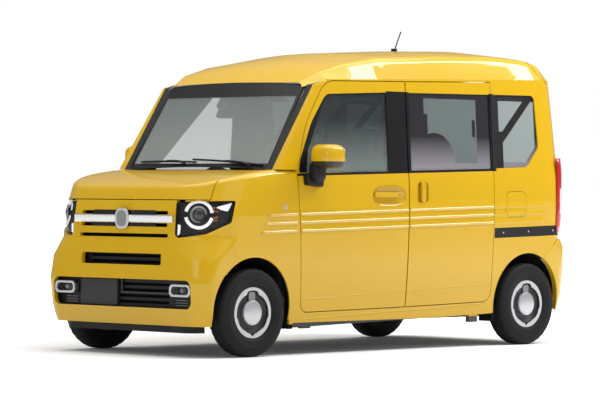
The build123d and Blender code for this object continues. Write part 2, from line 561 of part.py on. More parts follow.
def under_bonnet(depth):
    """The space below the bonnet's top line, lowered by depth."""
    line = [(x, z - depth) for x, z in BONNET_LINE]
    with BuildPart() as space:
        with BuildSketch(Plane.XZ):
            with BuildLine():
                ThreePointArc(*line)
                Polyline(line[2], (line[2][0], 0), (line[0][0], 0), line[0])
            make_face()
        extrude(amount=WIDTH, both=True)
    return space.part


def arch_cut(axle_x, radius, y_low, y_high):
    """The round wheel opening in the body side."""
    with BuildPart() as cut:
        with BuildSketch(Plane.XZ.offset(-y_low)):
            with Locations((axle_x, ARCH_LEVEL)):
                Circle(radius)
            with Locations((axle_x, ARCH_LEVEL / 2)):
                Rectangle(2 * radius, ARCH_LEVEL)
        extrude(amount=-(y_high - y_low))
    return cut.part


def corner_prism(rows, grow):
    """The left headlamp's outline, driven straight in from the front corner."""
    across = Vector(-1, 1, 0).normalized()
    into = Vector(-1, -1, 0).normalized()
    with BuildPart() as cut:
        with BuildSketch(Plane(origin=(*LAMP_SIGHT, 0), x_dir=across, z_dir=-into)):
            with BuildLine():
                FilletPolyline(*[(u, z) for u, z, _ in rows], radius=[r for _, _, r in rows], close=True)
            make_face()
            if grow:
                offset(amount=grow, kind=Kind.INTERSECTION, mode=Mode.REPLACE)
        extrude(amount=-LAMP_REACH)
    return cut.part


def ribs():
    """The three raised ribs along the left side."""
    with BuildPart() as bars:
        for level, start_x in SIDE_RIBS:
            y = side_y(level, 0)
            z = level - WEDGE * start_x
            with BuildSketch(Plane.YZ.offset(start_x)):
                with BuildLine():
                    Polyline(
                        (y - RIB_ROOT, z - RIB_WIDTH / 2),
                        (y, z - RIB_WIDTH / 2),
                        (y + RIB_HEIGHT, z - RIB_TOP / 2),
                        (y + RIB_HEIGHT, z + RIB_TOP / 2),
                        (y, z + RIB_WIDTH / 2),
                        (y - RIB_ROOT, z + RIB_WIDTH / 2),
                        close=True,
                    )
                make_face()
            extrude(amount=(start_x - SIDE_REAR) * math.hypot(1, WEDGE), dir=(-1, 0, WEDGE))
    return bars.part


def seam_space(grow):
    """Everything behind the tailgate's seam on the roof, and between its upright edges."""
    (top_x, top_z), (low_x, low_z) = TAILGATE_SEAM
    with BuildPart() as space:
        with BuildSketch(Plane.XZ):
            with BuildLine():
                Polyline(
                    (top_x, BEYOND_ROOF),
                    (top_x, top_z),
                    (low_x, low_z),
                    (BEYOND_TAIL, low_z),
                    (BEYOND_TAIL, BEYOND_ROOF),
                    close=True,
                )
            make_face()
            if grow:
                offset(amount=grow, kind=Kind.INTERSECTION, mode=Mode.REPLACE)
        extrude(amount=WIDTH, both=True)
        half = TAILGATE_HALF + grow
        add(block((BEYOND_TAIL, low_x + 20), (-half, half), (TAILGATE_LOW - grow, low_z + 20)))
    return space.part


def mirrored(part):
    """The same piece on the car's right side."""
    return mirror(part, about=Plane.XZ, mode=Mode.PRIVATE)


def biggest(part):
    """The largest solid of a cut panel."""
    return part.solids().sort_by(SortBy.VOLUME)[-1]


def save(piece, name):
    """Labels a finished piece and writes it out."""
    piece.label = name
    export_step(piece, f"parts/{name}.step")


os.makedirs("parts", exist_ok=True)

with BuildPart() as side_wall:
    add(side_solid(0))
    add(side_solid(WALL), mode=Mode.SUBTRACT)

nose_hollow = plan_loft(NOSE_LEVELS, NOSE, DOOR_FRONT_X - OVERRUN, PANEL)
with BuildPart() as nose_shell:
    add(plan_loft(NOSE_LEVELS, NOSE, DOOR_FRONT_X + SEAM, 0))
    add(under_bonnet(0) + block((DOOR_FRONT_X, COWL_X), (-WIDTH, WIDTH), (0, COWL_Z)), mode=Mode.INTERSECT)
    top = nose_shell.faces().filter_by(GeomType.CYLINDER).sort_by(Axis.Z)[-1]
    fillet(top.edges().filter_by(lambda e: e.bounding_box().max.X > COWL_X + 1), BONNET_EDGE)
    inside = under_bonnet(PANEL) + block((0, COWL_X), (-WIDTH, WIDTH), (0, COWL_Z - PANEL))
    add(nose_hollow & inside, mode=Mode.SUBTRACT)

side_ribs = ribs()

# Front face
headlamp_space = corner_prism(HEADLAMP, SEAM)
headlamp_spaces = headlamp_space + mirrored(headlamp_space)
grille_gap = GRILLE_HALF + SEAM
nose_x = (SIDE_FRONT, BEYOND_NOSE)

with BuildPart() as front_bumper:
    add(nose_shell.part)
    add(side_prism(BUMPER_ROWS, near=-BEYOND_SIDE), mode=Mode.INTERSECT)
    add(block(nose_x, (-grille_gap, grille_gap), (GRILLE_LOW - SEAM, BONNET_TOP)), mode=Mode.SUBTRACT)
    add(headlamp_spaces, mode=Mode.SUBTRACT)
    add(front_prism(INTAKE_HALF, INTAKE_LOW, INTAKE_HIGH, INTAKE_CORNER), mode=Mode.SUBTRACT)
    add(front_prism(SLIT_HALF, SLIT_LOW, SLIT_HIGH, SLIT_CORNER), mode=Mode.SUBTRACT)
    add(arch_cut(FRONT_AXLE, ARCH_RADIUS, -BEYOND_SIDE, BEYOND_SIDE), mode=Mode.SUBTRACT)
save(front_bumper.part, "front_bumper")

with BuildPart() as grille_panel:
    add(nose_shell.part)
    add(front_prism(GRILLE_HALF, GRILLE_LOW, BONNET_SEAM - SHUT_GAP, GRILLE_CORNER), mode=Mode.INTERSECT)
    add(headlamp_spaces, mode=Mode.SUBTRACT)
    for low, high, half in GRILLE_SLOTS:
        add(front_prism(half, low, high, SLOT_CORNER), mode=Mode.SUBTRACT)
save(grille_panel.part, "grille_panel")

with BuildPart() as left_lamp:
    add(nose_shell.part)
    add(corner_prism(HEADLAMP, 0), mode=Mode.INTERSECT)
with BuildPart() as front_lamps:
    add(left_lamp.part)
    add(mirrored(left_lamp.part))
    for side in (-1, 1):
        with BuildSketch(Plane.YZ.offset(INSERT_X + SEAM)):
            with Locations((side * FOG_Y, FOG_Z)):
                RectangleRounded(FOG_WIDTH, FOG_HEIGHT, FOG_CORNER)
        extrude(amount=FOG_DEPTH)
save(front_lamps.part, "front_lamps")

bonnet_x = (BONNET_REAR + SHUT_GAP, BEYOND_NOSE)
bonnet_edge_y = BONNET_HALF - SHUT_GAP
with BuildPart() as bonnet:
    add(nose_shell.part)
    add(block(bonnet_x, (-bonnet_edge_y, bonnet_edge_y), (BONNET_SEAM, BONNET_TOP)), mode=Mode.INTERSECT)
save(bonnet.part, "bonnet")

ahead = (0, BEYOND_NOSE)
with BuildPart() as left_fender:
    add(nose_shell.part)
    add(block(ahead, (0, BEYOND_SIDE), (0, BONNET_TOP)), mode=Mode.INTERSECT)
    add(block(ahead, (-BEYOND_SIDE, BONNET_HALF), (BONNET_SEAM - SHUT_GAP, BONNET_TOP)), mode=Mode.SUBTRACT)
    add(headlamp_space, mode=Mode.SUBTRACT)
    add(side_prism(BUMPER_ROWS, shrink=-SEAM), mode=Mode.SUBTRACT)
    add(block(nose_x, (-BEYOND_SIDE, FENDER_INNER_Y), (0, BONNET_TOP)), mode=Mode.SUBTRACT)
    add(side_ribs & block((DOOR_FRONT_X + SEAM, SIDE_FRONT), (0, BEYOND_SIDE), (0, BONNET_TOP)))
    add(arch_cut(FRONT_AXLE, ARCH_RADIUS, 0, BEYOND_SIDE), mode=Mode.SUBTRACT)
with BuildPart() as front_fenders:
    add(biggest(left_fender.part))
    add(mirrored(biggest(left_fender.part)))
save(front_fenders.part, "front_fenders")

# Roof, tailgate and tail, split along the tailgate's seam
roof_outer = roof_loft(ROOF_STATIONS, 0)
roof_hollow = roof_loft(ROOF_STATIONS, ROOF_WALL)
screen_opening = screen_block(SCREEN_CUT, GLASS + SEAM, SEAM)
tail_low = plan_loft(TAIL_LOW_LEVELS, TAIL, SIDE_REAR, 0)
with BuildPart() as tail_shell:
    add(tail_low)
    add(plan_loft(TAIL_HIGH_LEVELS, TAIL, SIDE_REAR, 0))
    add(plan_loft(TAIL_LOW_LEVELS, TAIL, SIDE_REAR + OVERRUN, TAIL_WALL), mode=Mode.SUBTRACT)
    add(plan_loft(TAIL_HIGH_LEVELS, TAIL, SIDE_REAR + OVERRUN, TAIL_WALL), mode=Mode.SUBTRACT)

with BuildPart() as roof_panel:
    add(roof_outer)
    add(roof_hollow, mode=Mode.SUBTRACT)
    add(screen_opening, mode=Mode.SUBTRACT)
    add(seam_space(SHUT_GAP), mode=Mode.SUBTRACT)
save(roof_panel.part, "roof_panel")

with BuildPart() as windscreen:
    add(screen_block(0, GLASS, 0))
save(windscreen.part, "windscreen")

with BuildPart() as tailgate:
    add(roof_outer)
    add(block((BEYOND_TAIL, TAILGATE_ROOF[0]), (-WIDTH, WIDTH), TAILGATE_ROOF[1:]), mode=Mode.INTERSECT)
    add(roof_hollow, mode=Mode.SUBTRACT)
    add(tail_shell.part)
    add(seam_space(0), mode=Mode.INTERSECT)
    with BuildSketch(Plane.YZ.offset(SIDE_REAR)):
        with Locations((0, REAR_GLASS_Z)):
            RectangleRounded(REAR_GLASS_WIDTH, REAR_GLASS_HEIGHT, REAR_GLASS_CORNER)
    extrude(amount=BEYOND_TAIL - SIDE_REAR, mode=Mode.SUBTRACT)
save(tailgate.part, "tailgate")

# Body sides with their openings, the sill, the pillars and the roof rail
tail_edge_y = TAILGATE_HALF + SHUT_GAP
lamp_space = block((BEYOND_TAIL, LAMP_FRONT_X), (tail_edge_y, BEYOND_SIDE), (LAMP_LOW, LAMP_HIGH))
with BuildPart() as outer_layer:
    add(side_solid(0))
    add(tail_low)
    add(side_solid(RAIL_DEPTH), mode=Mode.SUBTRACT)
    add(plan_loft(TAIL_LOW_LEVELS, TAIL, SIDE_REAR + OVERRUN, RAIL_DEPTH), mode=Mode.SUBTRACT)
    add(block((BEYOND_TAIL, SLIDE_REAR_X), (WIDTH / 5, BEYOND_SIDE), OUTER_LAYER_Z), mode=Mode.INTERSECT)

with BuildPart() as left_side:
    add(side_wall.part)
    add(block((SIDE_REAR, DOOR_FRONT_X), (0, BEYOND_SIDE), (0, BEYOND_ROOF)), mode=Mode.INTERSECT)
    add(tail_shell.part)
    add(block((BEYOND_TAIL, DOOR_FRONT_X), (0, BEYOND_SIDE), (0, BEYOND_ROOF)), mode=Mode.INTERSECT)
    add(side_solid(0) & side_prism(PILLAR_ROWS, near=PILLAR_INNER_Y))
    for rear_x, front_x, inner_y, outer_y, low_z, high_z in SIDE_BOXES:
        add(block((rear_x, front_x), (inner_y, outer_y), (low_z, high_z)))
    add(side_prism(FRONT_DOOR, near=DOOR_DEPTH_Y), mode=Mode.SUBTRACT)
    add(side_prism(SLIDE_DOOR, near=DOOR_DEPTH_Y), mode=Mode.SUBTRACT)
    add(side_prism(QUARTER_WINDOW), mode=Mode.SUBTRACT)
    add(side_prism(RAIL_ROWS) & outer_layer.part, mode=Mode.SUBTRACT)
    add(side_prism(BUMPER_TAIL_ROWS, shrink=-SEAM, near=-OVERRUN), mode=Mode.SUBTRACT)
    add(lamp_space, mode=Mode.SUBTRACT)
    add(seam_space(SHUT_GAP), mode=Mode.SUBTRACT)
    add(arch_cut(REAR_AXLE, ARCH_RADIUS, WIDTH / 3, BEYOND_SIDE), mode=Mode.SUBTRACT)
    add(arch_cut(FRONT_AXLE, ARCH_RADIUS, WIDTH / 3, BEYOND_SIDE), mode=Mode.SUBTRACT)
    add(screen_opening, mode=Mode.SUBTRACT)
    add(side_prism(AHEAD_ROWS), mode=Mode.SUBTRACT)
    add(roof_outer, mode=Mode.SUBTRACT)
with BuildPart() as plain_side:
    add(biggest(left_side.part))
    for pad_x in JACK_PADS:
        add(block((pad_x - JACK_PAD_HALF, pad_x + JACK_PAD_HALF), JACK_PAD_Y, (JACK_PAD_Z, JACK_PAD_TOP)))
    for stop_x in DOOR_STOPS:
        reach = side_y(CANTRAIL_Z + DOOR_STOP_RADIUS, stop_x) - WALL - SEAT - CANTRAIL_Y
        with Locations(Location((stop_x, CANTRAIL_Y, CANTRAIL_Z), (90, 0, 0))):
            Cylinder(DOOR_STOP_RADIUS, 2 * reach)
quarter_ribs = side_ribs & block((BEYOND_TAIL, SLIDE_REAR_X), (0, BEYOND_SIDE), (0, BEYOND_ROOF))
with BuildPart() as body_side_left:
    add(plain_side.part)
    add(side_prism(FUEL_LID) & outer_layer.part, mode=Mode.SUBTRACT)
    add(quarter_ribs - side_prism(FUEL_LID))
save(body_side_left.part, "body_side_left")
with BuildPart() as body_side_right:
    add(mirrored(plain_side.part))
    add(mirrored(quarter_ribs))
    # The pillar between the two right doors
    pillar = (PILLAR_X - DOOR_PILLAR_HALF, PILLAR_X + DOOR_PILLAR_HALF)
    add(block(pillar, (-CABIN_HALF, -RAIL_INNER_Y), (FLOOR_Z + SEAM, DOOR_PILLAR_TOP)))
save(body_side_right.part, "body_side_right")

# Doors, their glass and the fuel lid
with BuildPart() as front_door_left:
    add(side_wall.part)
    add(side_ribs)
    add(side_prism(FRONT_DOOR, shrink=SHUT_GAP), mode=Mode.INTERSECT)
    add(side_prism(FRONT_WINDOW), mode=Mode.SUBTRACT)
save(front_door_left.part, "front_door_left")
with BuildPart() as front_door_right:
    add(mirrored(front_door_left.part))
save(front_door_right.part, "front_door_right")

with BuildPart() as slide_door:
    add(side_wall.part)
    add(side_ribs)
    add(side_prism(SLIDE_DOOR, shrink=SHUT_GAP), mode=Mode.INTERSECT)
    add(side_prism(SLIDE_WINDOW), mode=Mode.SUBTRACT)
with BuildPart() as sliding_doors:
    add(slide_door.part)
    add(mirrored(slide_door.part))
save(sliding_doors.part, "sliding_doors")

with BuildPart() as pane:
    add(side_solid(GLASS_INSET))
    add(side_solid(GLASS_INSET + GLASS), mode=Mode.SUBTRACT)
with BuildPart() as front_glass_left:
    add(pane.part)
    add(side_prism(FRONT_WINDOW, shrink=SEAT), mode=Mode.INTERSECT)
save(front_glass_left.part, "front_glass_left")
with BuildPart() as front_glass_right:
    add(mirrored(front_glass_left.part))
save(front_glass_right.part, "front_glass_right")
with BuildPart() as side_glass_left:
    add(pane.part)
    add(side_prism(SLIDE_WINDOW, shrink=SEAT) + side_prism(QUARTER_WINDOW, shrink=SEAT), mode=Mode.INTERSECT)
with BuildPart() as side_glass:
    add(side_glass_left.part)
    add(mirrored(side_glass_left.part))
save(side_glass.part, "side_glass")
with BuildPart() as tailgate_glass:
    add(plan_loft(TAIL_HIGH_LEVELS, TAIL, SIDE_REAR, GLASS_INSET))
    add(plan_loft(TAIL_HIGH_LEVELS, TAIL, SIDE_REAR + OVERRUN, GLASS_INSET + GLASS), mode=Mode.SUBTRACT)
    with BuildSketch(Plane.YZ.offset(SIDE_REAR)):
        with Locations((0, REAR_GLASS_Z)):
            RectangleRounded(REAR_GLASS_WIDTH, REAR_GLASS_HEIGHT, REAR_GLASS_CORNER)
        offset(amount=-SEAT, kind=Kind.ARC, mode=Mode.REPLACE)
    extrude(amount=BEYOND_TAIL - SIDE_REAR, mode=Mode.INTERSECT)
save(tailgate_glass.part, "tailgate_glass")

with BuildPart() as fuel_lid:
    add(outer_layer.part)
    add(side_ribs)
    add(side_prism(FUEL_LID, shrink=FUEL_GAP), mode=Mode.INTERSECT)
    add(side_solid(RAIL_DEPTH - SEAT), mode=Mode.SUBTRACT)
save(fuel_lid.part, "fuel_lid")

with BuildPart() as left_rail:
    add(outer_layer.part)
    add(side_prism(RAIL_ROWS, shrink=SEAM), mode=Mode.INTERSECT)
    add(lamp_space, mode=Mode.SUBTRACT)
with BuildPart() as door_rails:
    add(biggest(left_rail.part))
    add(mirrored(biggest(left_rail.part)))
save(door_rails.part, "door_rails")

with BuildPart() as left_tail_lamp:
    add(tail_shell.part)
    lamp_z = (LAMP_LOW + SEAM, LAMP_HIGH - SEAM)
    add(block((BEYOND_TAIL, LAMP_FRONT_X - SEAM), (tail_edge_y, BEYOND_SIDE), lamp_z), mode=Mode.INTERSECT)
with BuildPart() as tail_lamps:
    add(left_tail_lamp.part)
    add(mirrored(left_tail_lamp.part))
save(tail_lamps.part, "tail_lamps")

with BuildPart() as rear_bumper:
    add(plan_loft(BUMPER_TAIL_LEVELS, TAIL, SIDE_REAR, 0))
    add(plan_loft(BUMPER_TAIL_LEVELS, TAIL, SIDE_REAR + OVERRUN, WALL), mode=Mode.SUBTRACT)
    add(side_prism(BUMPER_TAIL_ROWS, near=-BEYOND_SIDE), mode=Mode.INTERSECT)
    add(arch_cut(REAR_AXLE, ARCH_RADIUS, -BEYOND_SIDE, BEYOND_SIDE), mode=Mode.SUBTRACT)
    above_z = (TAILGATE_LOW - SHUT_GAP, BUMPER_TAIL_TOP)
    add(block((BEYOND_TAIL, REAR_AXLE), (-tail_edge_y, tail_edge_y), above_z), mode=Mode.SUBTRACT)
save(rear_bumper.part, "rear_bumper")

# Chrome bar, lower grille with its plate panel and lip
with BuildPart() as grille_bar:
    with BuildSketch(Plane.YZ.offset(BAR_BACK_X)):
        with Locations((0, BAR_Z)):
            Rectangle(2 * BAR_HALF, BAR_HEIGHT)
    extrude(amount=BAR_DEPTH)
    chamfer(grille_bar.faces().sort_by(Axis.X)[-1].edges(), BAR_CHAMFER)
save(grille_bar.part, "grille_bar")

insert = (INSERT_X - INSERT_DEPTH, INSERT_X)
with BuildPart() as lower_grille:
    half = INTAKE_HALF + INSERT_EDGE
    add(block(insert, (-half, half), (INTAKE_LOW - INSERT_EDGE, INTAKE_HIGH + INSERT_EDGE)))
    half = SLIT_HALF + INSERT_EDGE
    add(block(insert, (-half, half), (INTAKE_HIGH + INSERT_EDGE, SLIT_HIGH + INSERT_EDGE)))
    with BuildSketch(Plane.YZ.offset(INSERT_X)):
        with Locations((0, (INTAKE_LOW + INTAKE_HIGH) / 2)):
            with GridLocations(0, 2 * SLOT, 1, 4):
                Rectangle(INTAKE_SLOT_LENGTH, SLOT)
        with Locations((0, (SLIT_LOW + SLIT_HIGH) / 2)):
            with GridLocations(0, 2 * SLOT, 1, 2):
                Rectangle(2 * (SLIT_HALF - SLOT_END), SLOT)
    extrude(amount=-INSERT_DEPTH, mode=Mode.SUBTRACT)
    with BuildSketch(Plane.YZ.offset(INSERT_X - INSERT_DEPTH)):
        with Locations((PLATE_Y, PLATE_Z)):
            Rectangle(PLATE_WIDTH, PLATE_HEIGHT)
        with Locations((PLATE_Y, PLATE_HOLE_Z)):
            with GridLocations(PLATE_HOLES, 0, 2, 1):
                Circle(PLATE_HOLE_RADIUS, mode=Mode.SUBTRACT)
    extrude(amount=INSERT_DEPTH + PLATE_DEPTH)
    with BuildSketch(Plane.YZ.offset(INSERT_X)):
        with Locations((PLATE_Y, PLATE_HOLE_Z)):
            with GridLocations(PLATE_HOLES, 0, 2, 1):
                Circle(PLATE_HOLE_RADIUS)
    extrude(amount=-INSERT_DEPTH, mode=Mode.SUBTRACT)
    with BuildSketch(Plane.XY.offset(LIP_LOW)):
        with BuildLine():
            FilletPolyline(
                (LIP_REAR, -LIP_HALF),
                (LIP_FRONT, -LIP_HALF),
                (LIP_FRONT, LIP_HALF),
                (LIP_REAR, LIP_HALF),
                radius=[0, LIP_CORNER, LIP_CORNER, 0],
                close=True,
            )
        make_face()
    extrude(amount=NOSE_LEVELS[0][0] - SEAM - LIP_LOW)
save(lower_grille.part, "lower_grille")

cowl_edge_y = BONNET_HALF - SEAM
cowl_z = (BONNET_SEAM, BONNET_TOP)
with BuildPart() as cowl_panel:
    add(nose_shell.part)
    add(block((FIREWALL_X + SEAM, BONNET_REAR), (-cowl_edge_y, cowl_edge_y), cowl_z), mode=Mode.INTERSECT)
    add(screen_opening, mode=Mode.SUBTRACT)
    for side in (-1, 1):
        pillar_y = (side * (PILLAR_INNER_Y - SEAM), side * BEYOND_SIDE)
        add(block((FIREWALL_X - OVERRUN, COWL_X + OVERRUN), pillar_y, cowl_z), mode=Mode.SUBTRACT)
save(cowl_panel.part, "cowl_panel")

# Door mirrors and the antenna
with BuildPart() as mirror_left:
    with BuildSketch(Plane.YZ.offset(MIRROR_REAR_X)):
        with Locations(MIRROR_CENTRE):
            RectangleRounded(MIRROR_WIDTH, MIRROR_HEIGHT, MIRROR_CORNER)
    extrude(amount=MIRROR_DEPTH, taper=MIRROR_TAPER)
    fillet(mirror_left.faces().sort_by(Axis.X)[-1].edges(), MIRROR_NOSE)
    for x, y, z in MIRROR_LIMITS:
        add(block(x, y, z))
    add(side_solid(-SEAT), mode=Mode.SUBTRACT)
save(mirror_left.part, "mirror_left")
with BuildPart() as mirror_right:
    add(mirrored(mirror_left.part))
save(mirror_right.part, "mirror_right")

with BuildPart() as antenna:
    with Locations(Location((ANTENNA_FOOT[0], 0, ANTENNA_FOOT[1]))):
        Cylinder(ANTENNA_FOOT_RADIUS, ANTENNA_FOOT_HEIGHT)
    with Locations(Location((ANTENNA_FOOT[0], 0, ANTENNA_FOOT[1]), (0, -ANTENNA_LEAN, 0))):
        Cylinder(ANTENNA_RADIUS, ANTENNA_LENGTH, align=(Align.CENTER, Align.CENTER, Align.MIN))
    add(roof_outer.moved(Location((0, 0, SEAT))), mode=Mode.SUBTRACT)
save(antenna.part, "antenna")

# Floor, sills, wheel housings, firewall and the front frame
with BuildPart() as floor_pan:
    for rear_x, front_x, half, low_z, high_z in FLOOR_BOXES:
        add(block((rear_x, front_x), (-half, half), (low_z, high_z)))
    for side in (-1, 1):
        for rear_x, front_x, inner_y, outer_y, low_z, high_z in FLOOR_PAIRS:
            add(block((rear_x, front_x), (side * inner_y, side * outer_y), (low_z, high_z)))
        stop_x, stop_y, stop_z = BONNET_STOP
        add(block(stop_x, (side * stop_y[0], side * stop_y[1]), stop_z) & under_bonnet(PANEL + SEAT))
        with BuildSketch(Plane.XZ.offset(-side * WHEELHOUSE_Y)):
            with Locations((REAR_AXLE, ARCH_LEVEL)):
                Circle(ARCH_RADIUS + WHEELHOUSE_SHEET)
            with Locations((REAR_AXLE, 0)):
                Rectangle(4 * ARCH_RADIUS, 2 * WHEELHOUSE_LOW, mode=Mode.SUBTRACT)
        extrude(amount=-side * WHEELHOUSE_DEPTH)
        with BuildSketch(Plane.XZ.offset(-side * (WHEELHOUSE_Y + WHEELHOUSE_WALL))):
            with Locations((REAR_AXLE, ARCH_LEVEL)):
                Circle(ARCH_RADIUS + WHEELHOUSE_GAP)
        extrude(amount=-side * BEYOND_SIDE, mode=Mode.SUBTRACT)
save(floor_pan.part, "floor_pan")

# Cabin
with BuildPart() as dashboard:
    add(across_block(DASH_PROFILE, DASH_CORNER, 0, DASH_HALF))
save(dashboard.part, "dashboard")

wheel_plane = Plane(origin=STEERING_CENTRE, x_dir=(0, 1, 0), z_dir=STEERING_AXIS)
with BuildPart() as steering_wheel:
    with Locations(wheel_plane.location):
        Torus(STEERING_RADIUS, RIM_THICKNESS)
        Box(2 * STEERING_RADIUS, SPOKE_WIDTH, SPOKE_DEPTH)
        Cylinder(BOSS_RADIUS, BOSS_DEPTH)
        Cylinder(COLUMN_RADIUS, COLUMN_LENGTH, align=(Align.CENTER, Align.CENTER, Align.MAX))
    add(dashboard.part, mode=Mode.SUBTRACT)
    add(block(*COLUMN_CUT), mode=Mode.SUBTRACT)
save(biggest(steering_wheel.part), "steering_wheel")

with BuildPart() as seats:
    for seat_y, half, back_x, depth, head_rests in SEAT_PLACES:
        frame_half = half - SEAT_FRAME_INSET
        frame_x = (back_x + SEAT_FRAME_INSET, back_x + depth - SEAT_FRAME_INSET)
        add(block(frame_x, (seat_y - frame_half, seat_y + frame_half), (FLOOR_Z + SEAM, SEAT_FRAME_TOP)))
        front_x = back_x + depth
        cushion = [
            (back_x, CUSHION_LOW),
            (front_x, CUSHION_LOW),
            (front_x, CUSHION_TOP),
            (back_x, CUSHION_BACK),
        ]
        add(across_block(cushion, SEAT_CORNER, seat_y, half))
        backrest = [(back_x + forward, z) for forward, z in BACKREST]
        add(across_block(backrest, SEAT_CORNER, seat_y, half - BACKREST_INSET))
        head_rest = [(back_x + forward, z) for forward, z in HEAD_REST]
        for head_y in head_rests:
            add(across_block(head_rest, HEAD_REST_CORNER, head_y, HEAD_REST_HALF))
save(seats.part, "seats")

# Engine, front suspension, rear axle, tank and exhaust
upwards = (Align.CENTER, Align.CENTER, Align.MIN)
with BuildPart() as engine_block:
    add(block(ENGINE_X, (-ENGINE_HALF, ENGINE_HALF), ENGINE_Z))
save(engine_block.part, "engine_block")

with BuildPart() as front_subframe:
    for length, half, low_z, high_z in CROSS_MEMBER:
        add(block((FRONT_AXLE - length, FRONT_AXLE + length), (-half, half), (low_z, high_z)))
    arm_x = (FRONT_AXLE - ARM_HALF, FRONT_AXLE + ARM_HALF)
    foot_x = (FRONT_AXLE - ARM_FOOT_HALF, FRONT_AXLE + ARM_FOOT_HALF)
    for side in (-1, 1):
        add(block(arm_x, (side * ARM_INNER_Y, side * ARM_OUTER_Y), (ARM_TOP - ARM_SHEET, ARM_TOP)))
        add(block(foot_x, (side * ARM_FOOT_Y[0], side * ARM_FOOT_Y[1]), (ARM_TOP - ARM_SHEET, ARM_FOOT_TOP)))
        with Locations((FRONT_AXLE, side * STRUT_Y, ARM_TOP - STRUT_SINK)):
            Cylinder(STRUT_RADIUS, STRUT_TOP - ARM_TOP + STRUT_SINK, align=upwards)
save(front_subframe.part, "front_subframe")

with BuildPart() as knuckle_left:
    knuckle_x = (FRONT_AXLE - KNUCKLE_HALF, FRONT_AXLE + KNUCKLE_HALF)
    add(block(knuckle_x, (KINGPIN_Y - KNUCKLE_DEPTH, KINGPIN_Y), (ARM_TOP + SEAT, KNUCKLE_TOP)))
    with Locations((FRONT_AXLE, KINGPIN_Y, ARM_TOP + SEAT)):
        Cylinder(KINGPIN_RADIUS, KINGPIN_HEIGHT, align=upwards)
    with Locations(Location((FRONT_AXLE, SPINDLE_ROOT, TYRE_RADIUS), (-90, 0, 0))):
        Cylinder(SPINDLE_RADIUS, SPINDLE_END - SPINDLE_ROOT, align=upwards)
save(knuckle_left.part, "knuckle_left")
with BuildPart() as knuckle_right:
    add(mirrored(knuckle_left.part))
save(knuckle_right.part, "knuckle_right")

with BuildPart() as rear_axle:
    with Locations(Location((REAR_AXLE, 0, TYRE_RADIUS), (90, 0, 0))):
        Cylinder(SPINDLE_RADIUS, 2 * SPINDLE_END)
        Cylinder(AXLE_RADIUS, 2 * SPINDLE_ROOT)
    foot_x = (TRAILING_ARM_FRONT - TRAILING_ARM_FOOT, TRAILING_ARM_FRONT)
    for side in (-1, 1):
        arm_y = (side * TRAILING_ARM_Y[0], side * TRAILING_ARM_Y[1])
        add(block((REAR_AXLE, TRAILING_ARM_FRONT), arm_y, TRAILING_ARM_Z))
        add(block(foot_x, arm_y, (TRAILING_ARM_Z[0], SPRING_TOP)))
        with Locations((REAR_AXLE, side * SPRING_Y, TYRE_RADIUS)):
            Cylinder(SPRING_RADIUS, SPRING_TOP - TYRE_RADIUS, align=upwards)
save(rear_axle.part, "rear_axle")

with BuildPart() as fuel_tank:
    add(block(TANK_X, TANK_Y, (TANK_LOW, FLOOR_LOW - SEAM)))
    fillet(fuel_tank.edges().filter_by(Axis.Z), TANK_CORNER)
save(fuel_tank.part, "fuel_tank")

with BuildPart() as exhaust:
    for start, turn, radius, length in EXHAUST:
        with Locations(Location(start, turn)):
            Cylinder(radius, length, align=upwards)
            Sphere(radius)
    add(block(*PIPE_CUT), mode=Mode.SUBTRACT)
save(exhaust.part, "exhaust")

# Wheels and tyres
with BuildPart() as tyre:
    with BuildSketch(Plane.YZ):
        with BuildLine():
            Polyline(*TYRE_PROFILE, *[(-y, r) for y, r in reversed(TYRE_PROFILE)], close=True)
        make_face()
    revolve(axis=Axis.Y)
with BuildPart() as wheel:
    with BuildSketch(Plane.YZ):
        with BuildLine():
            Polyline(*WHEEL_PROFILE, close=True)
        make_face()
    revolve(axis=Axis.Y)
for corner, axle_x, side in (
    ("front_left", FRONT_AXLE, 1),
    ("front_right", FRONT_AXLE, -1),
    ("rear_left", REAR_AXLE, 1),
    ("rear_right", REAR_AXLE, -1),
):
    place = Location((axle_x, side * WHEEL_Y, TYRE_RADIUS), (0, 0, 0 if side > 0 else 180))
    save(tyre.part.moved(place), f"tyre_{corner}")
    save(wheel.part.moved(place), f"wheel_{corner}")
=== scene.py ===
"""Looks of a small golden-yellow high-roof van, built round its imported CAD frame.

Metres: X forward, Y left, Z up.
"""

import json
import math

import bmesh
import bpy
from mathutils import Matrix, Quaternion, Vector, noise


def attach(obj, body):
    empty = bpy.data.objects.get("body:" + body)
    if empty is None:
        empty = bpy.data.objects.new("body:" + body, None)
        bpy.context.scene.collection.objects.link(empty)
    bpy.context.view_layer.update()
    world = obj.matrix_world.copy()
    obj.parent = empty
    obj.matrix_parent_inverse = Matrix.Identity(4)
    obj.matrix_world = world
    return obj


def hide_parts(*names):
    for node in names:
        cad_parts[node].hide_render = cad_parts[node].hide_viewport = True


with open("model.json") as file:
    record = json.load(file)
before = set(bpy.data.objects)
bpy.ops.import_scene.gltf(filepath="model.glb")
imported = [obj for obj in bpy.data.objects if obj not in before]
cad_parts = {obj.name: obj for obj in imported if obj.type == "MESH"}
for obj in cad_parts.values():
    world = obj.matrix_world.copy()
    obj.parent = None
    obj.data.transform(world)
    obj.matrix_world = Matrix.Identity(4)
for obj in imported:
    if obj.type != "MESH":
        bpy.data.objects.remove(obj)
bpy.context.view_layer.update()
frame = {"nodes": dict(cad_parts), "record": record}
nodes = frame["nodes"]
node_body = {n: b for b, members in frame["record"]["behaviour"]["bodies"].items() for n in members}
slot_of = {s["node"]: s["material_slot"] for s in frame["record"]["subparts"]}

